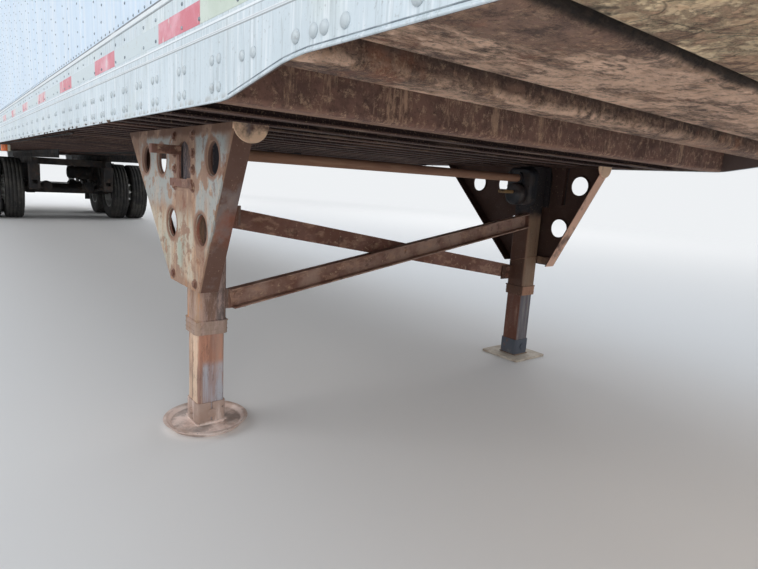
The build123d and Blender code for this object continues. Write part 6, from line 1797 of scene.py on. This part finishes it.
class TRAILER_OT_running_gear(bpy.types.Operator):
    """Set the bogie's bolts, flap strips and cam tubes, and the fixed air and wiring lines"""

    bl_idname = "trailer.running_gear"
    bl_label = "Running gear trim"

    def execute(self, context):
        bolts = []
        for side in (1, -1):
            for x in HANGER_PLACES:
                for face_y, way in ((0.635, 1), (0.485, -1)):
                    spot = (x, side * face_y, HANGER_BOLT_Z)
                    bolts.append((spot, (0.0, side * way, 0.0)))
        hex_bolts("hanger_bolts", bolts, 0.017, "running", "bogie")
        bolts = []
        for side in (1, -1):
            for y in rows(0.72, 1.21, 0.12):
                bolts.append(((FLAP_X, side * y, BOGIE_BOTTOM + 0.045), BACK))
        hex_bolts("flap_bolts", bolts, 0.009, "galvanised", "bogie")
        bm = bmesh.new()
        for side in (1, -1):
            low = (FLAP_X, side * 0.690, BOGIE_BOTTOM + 0.020)
            high = (FLAP_X - 0.003, side * 1.240, BOGIE_BOTTOM + 0.070)
            add_block(bm, low, high)
        settle(bm, "flap_strips", "galvanised", "bogie")
        bm = bmesh.new()
        for axle_x in AXLES.values():
            for side in (1, -1):
                cam_x = axle_x - 0.112
                add_rod(bm, (cam_x, side * 0.43, TYRE_RADIUS), (cam_x, side * 0.79, TYRE_RADIUS), 0.016, 16)
        settle(bm, "cam_tubes", "running", "bogie")
        lines = [[(x, y, AIR_LINE_Z) for x in (LEG_X - 1.2, -1.0, -3.9)] for y in (-0.10, 0.10)]
        beads("air_lines", lines, 0.0065, "rubber", ripple=0.0, pitch=0.4, facets=8)
        lines = [[(x, y, WIRING_Z) for x in (LEG_X - 1.2, 0.0, -7.7)] for y in (1.232, -1.232)]
        beads("wiring_lines", lines, 0.0035, "rubber", ripple=0.0, pitch=0.4, facets=6)
        return {"FINISHED"}


# Half of a tyre's outline from its middle outward: outboard place and radius, in metres
TYRE_OUTLINE = (
    (0.022, 0.508), (0.026, 0.499), (0.032, 0.499), (0.036, 0.508),
    (0.074, 0.5075), (0.078, 0.499), (0.084, 0.499), (0.088, 0.507),
    (0.112, 0.505), (0.122, 0.500), (0.129, 0.488), (0.133, 0.470),
    (0.138, 0.440), (0.140, 0.405), (0.137, 0.365), (0.130, 0.335),
    (0.128, 0.330), (0.126, 0.322), (0.118, 0.304), (0.109, 0.294), (0.100, 0.2865),
)
TYRE_STEPS = 104


class TRAILER_OT_tyres(bpy.types.Operator):
    """Turn the ribbed tyres and set their rims' lips, studs and hub covers"""

    bl_idname = "trailer.tyres"
    bl_label = "Tyres and wheel trim"

    def execute(self, context):
        outline = [(-y, r) for y, r in reversed(TYRE_OUTLINE)] + list(TYRE_OUTLINE)
        for axle, axle_x in AXLES.items():
            for side_name, side in SIDES.items():
                tag = f"{axle}_{side_name}"
                bm = bmesh.new()
                for offset in (-TWIN_OFF, TWIN_OFF):
                    centre = side * (DUAL_CENTRE + offset)
                    first = len(bm.verts)
                    add_ring(bm, outline, axle_x, centre, TYRE_RADIUS, TYRE_STEPS)
                    bm.verts.ensure_lookup_table()
                    for index in range(first, len(bm.verts)):
                        vert = bm.verts[index]
                        step, k = divmod(index - first, len(outline))
                        y, r = outline[k]
                        if step % 4 == 0 and 0.105 < abs(y) < 0.13 and r > 0.48:
                            away = Vector((vert.co.x - axle_x, 0.0, vert.co.z - TYRE_RADIUS))
                            vert.co -= away.normalized() * 0.006
                tyres = settle(bm, f"ribbed_tyres_{tag}", "tyre", f"wheels_{tag}", smooth=True)
                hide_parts(f"tyres_{tag}")
                self.wheel_trim(tag, axle_x, side)
        return {"FINISHED"}

    def wheel_trim(self, tag, axle_x, side):
        """Rim lips, stud nuts and the oil cap's ring."""
        body = f"wheels_{tag}"
        bm = bmesh.new()
        for offset in (-TWIN_OFF, TWIN_OFF):
            for edge in (-1, 1):
                rim = offset + edge * 0.106
                lip = [(rim, 0.277), (rim + edge * 0.010, 0.279), (rim + edge * 0.013, 0.296)]
                lip += [(rim + edge * 0.009, 0.299), (rim + edge * 0.006, 0.2855), (rim, 0.2855)]
                add_ring(bm, lip, axle_x, side * DUAL_CENTRE, TYRE_RADIUS, 72, side)
        settle(bm, f"rim_lips_{tag}", "rim", body, smooth=True)
        bm = bmesh.new()
        cap = [(0.170, 0.0), (0.186, 0.0), (0.186, 0.030), (0.179, 0.046), (0.170, 0.052)]
        add_ring(bm, cap, axle_x, side * DUAL_CENTRE, TYRE_RADIUS, 32, side)
        settle(bm, f"hub_caps_{tag}", "iron", body, smooth=True)
        bm = bmesh.new()
        for index in range(10):
            turn = 2 * math.pi * (index + 0.5) / 10
            x = axle_x + 0.1675 * math.sin(turn)
            z = TYRE_RADIUS + 0.1675 * math.cos(turn)
            for radius, sides, start, end in ((0.019, 6, 0.010, 0.036), (0.011, 10, 0.030, 0.052)):
                spot = Matrix.Translation((x, side * (DUAL_CENTRE + (start + end) / 2), z))
                bmesh.ops.create_cone(
                    bm, cap_ends=True, segments=sides, radius1=radius, radius2=radius * 0.94,
                    depth=end - start, matrix=spot @ Matrix.Rotation(-side * math.pi / 2, 4, "X"),
                )
        settle(bm, f"stud_nuts_{tag}", "running", body)


# Colour of the backdrop, which only the camera and mirrorlike surfaces see
BACKDROP = (0.86, 0.88, 0.90, 1.0)

# The photo's camera: its turn, tilt and roll in degrees, its place from the legs, and its lens
CAMERA_TURN = (38.553, -10.648, 3.591)
CAMERA_PLACE = (2.0721, -1.7759, 1.0142)
CAMERA_LENS = 26.136

# Each lamp's name, place, aim, width, height and power
LAMPS = (
    ("key", (-1.0, -14.0, 8.0), (1.0, 0.0, 1.0), 12.0, 7.0, 760.0),
    ("ahead", (17.0, -5.0, 5.0), (4.0, 0.0, 0.9), 9.0, 6.0, 720.0),
    ("far", (-4.0, 14.0, 7.0), (1.0, 0.0, 1.0), 12.0, 6.0, 740.0),
    ("behind", (-17.0, 3.0, 6.0), (-6.0, 0.0, 1.5), 8.0, 6.0, 520.0),
)


class TRAILER_OT_stage(bpy.types.Operator):
    """Set the camera, the lamps, the sky and the pale floor"""

    bl_idname = "trailer.stage"
    bl_label = "Stage"

    def execute(self, context):
        scene = context.scene
        scene.view_settings.view_transform = "Standard"
        self.camera(scene)
        for name, spot, aim, width, height, power in LAMPS:
            data = bpy.data.lights.new(name, "AREA")
            data.shape = "RECTANGLE"
            data.size = width
            data.size_y = height
            data.energy = power
            lamp = bpy.data.objects.new(name, data)
            scene.collection.objects.link(lamp)
            lamp.location = spot
            lamp.rotation_euler = (Vector(aim) - Vector(spot)).to_track_quat("-Z", "Y").to_euler()
        self.sky(scene)
        bm = bmesh.new()
        add_block(bm, (-200.0, -200.0, -0.05), (200.0, 200.0, 0.0))
        mesh = bpy.data.meshes.new("studio floor")
        bm.to_mesh(mesh)
        bm.free()
        mesh.materials.append(self.pale_floor())
        floor = bpy.data.objects.new("studio floor", mesh)
        scene.collection.objects.link(floor)
        return {"FINISHED"}

    def camera(self, scene):
        """The camera where the photo was taken from."""
        yaw, pitch, roll = (math.radians(angle) for angle in CAMERA_TURN)
        level = math.cos(pitch)
        ahead = Vector((-math.cos(yaw) * level, math.sin(yaw) * level, math.sin(pitch)))
        right = ahead.cross(Vector((0.0, 0.0, 1.0))).normalized()
        up = right.cross(ahead)
        rolled_right = math.cos(roll) * right + math.sin(roll) * up
        rolled_up = -math.sin(roll) * right + math.cos(roll) * up
        turn = Matrix((rolled_right, rolled_up, -ahead)).transposed().to_4x4()
        data = bpy.data.cameras.new("photo camera")
        data.sensor_width = 36.0
        data.sensor_fit = "HORIZONTAL"
        data.lens = CAMERA_LENS
        data.clip_start = 0.05
        data.clip_end = 500.0
        camera = bpy.data.objects.new("photo camera", data)
        scene.collection.objects.link(camera)
        ahead_x, across, height = CAMERA_PLACE
        camera.matrix_world = Matrix.Translation((LEG_X + ahead_x, across, height)) @ turn
        scene.camera = camera

    def sky(self, scene):
        """A pale blue light from all round, behind the backdrop's colour."""
        world = bpy.data.worlds.new("plain sky")
        scene.world = world
        world.use_nodes = True
        maker = NodeMaker(world.node_tree)
        light = maker.tree.nodes["Background"]
        light.inputs["Color"].default_value = (0.86, 0.92, 1.0, 1.0)
        light.inputs["Strength"].default_value = 0.68
        shown = maker.add("ShaderNodeBackground", {"Color": BACKDROP})
        layers = {0: maker.seen_rays(), 1: light.outputs[0], 2: shown.outputs[0]}
        pick = maker.add("ShaderNodeMixShader", layers)
        maker.tree.links.new(pick.outputs[0], maker.tree.nodes["World Output"].inputs[0])

    def pale_floor(self):
        """A plain floor that takes the object's shadow and fades into the backdrop round it."""
        mixer = Mixer("pale floor")
        mixer.shader.inputs["Base Color"].default_value = (0.76, 0.75, 0.735, 1.0)
        mixer.shader.inputs["Roughness"].default_value = 0.95
        squares = []
        for part, half_size in ((mixer.x, 8.5), (mixer.y, 1.5)):
            beyond = mixer.math("SUBTRACT", mixer.math("ABSOLUTE", part), half_size)
            squares.append(mixer.math("POWER", mixer.math("MAXIMUM", beyond, 0.0), 2.0))
        fade = mixer.between(mixer.math("SQRT", mixer.math("ADD", *squares)), 2.0, 14.0)
        share = mixer.math("MULTIPLY", fade, mixer.seen_rays())
        glow = mixer.add("ShaderNodeEmission", {"Color": BACKDROP})
        pick = mixer.add("ShaderNodeMixShader", {0: share, 1: mixer.shader.outputs[0], 2: glow.outputs[0]})
        mixer.tree.links.new(pick.outputs[0], mixer.tree.nodes["Material Output"].inputs[0])
        return mixer.material


class TRAILER_PT_panel(bpy.types.Panel):
    """Lists the pieces of the trailer's dress"""

    bl_idname = "TRAILER_PT_panel"
    bl_label = "Semi trailer"
    bl_space_type = "VIEW_3D"
    bl_region_type = "UI"
    bl_category = "Trailer"

    def draw(self, context):
        layout = self.layout
        for group in (context.scene.trailer_sizes, context.scene.trailer_colours):
            for key in group.__annotations__:
                layout.prop(group, key)
        for operator in OPERATORS:
            layout.operator(operator.bl_idname)


OPERATORS = (
    TRAILER_OT_stage,
    TRAILER_OT_finishes,
    TRAILER_OT_rail_heads,
    TRAILER_OT_wall_rivets,
    TRAILER_OT_tape,
    TRAILER_OT_body_trim,
    TRAILER_OT_landing_gear,
    TRAILER_OT_door_trim,
    TRAILER_OT_rear_trim,
    TRAILER_OT_load_space,
    TRAILER_OT_running_gear,
    TRAILER_OT_tyres,
)
CLASSES = (TrailerSizes, TrailerColours, *OPERATORS, TRAILER_PT_panel)


def register():
    for each in CLASSES:
        bpy.utils.register_class(each)
    bpy.types.Scene.trailer_sizes = bpy.props.PointerProperty(type=TrailerSizes)
    bpy.types.Scene.trailer_colours = bpy.props.PointerProperty(type=TrailerColours)


def unregister():
    del bpy.types.Scene.trailer_colours
    del bpy.types.Scene.trailer_sizes
    for each in reversed(CLASSES):
        bpy.utils.unregister_class(each)


def main():
    """Builds every piece in order."""
    register()
    for operator in OPERATORS:
        group, action = operator.bl_idname.split(".")
        getattr(getattr(bpy.ops, group), action)()
    bpy.context.view_layer.update()


if __name__ == "__main__":
    main()
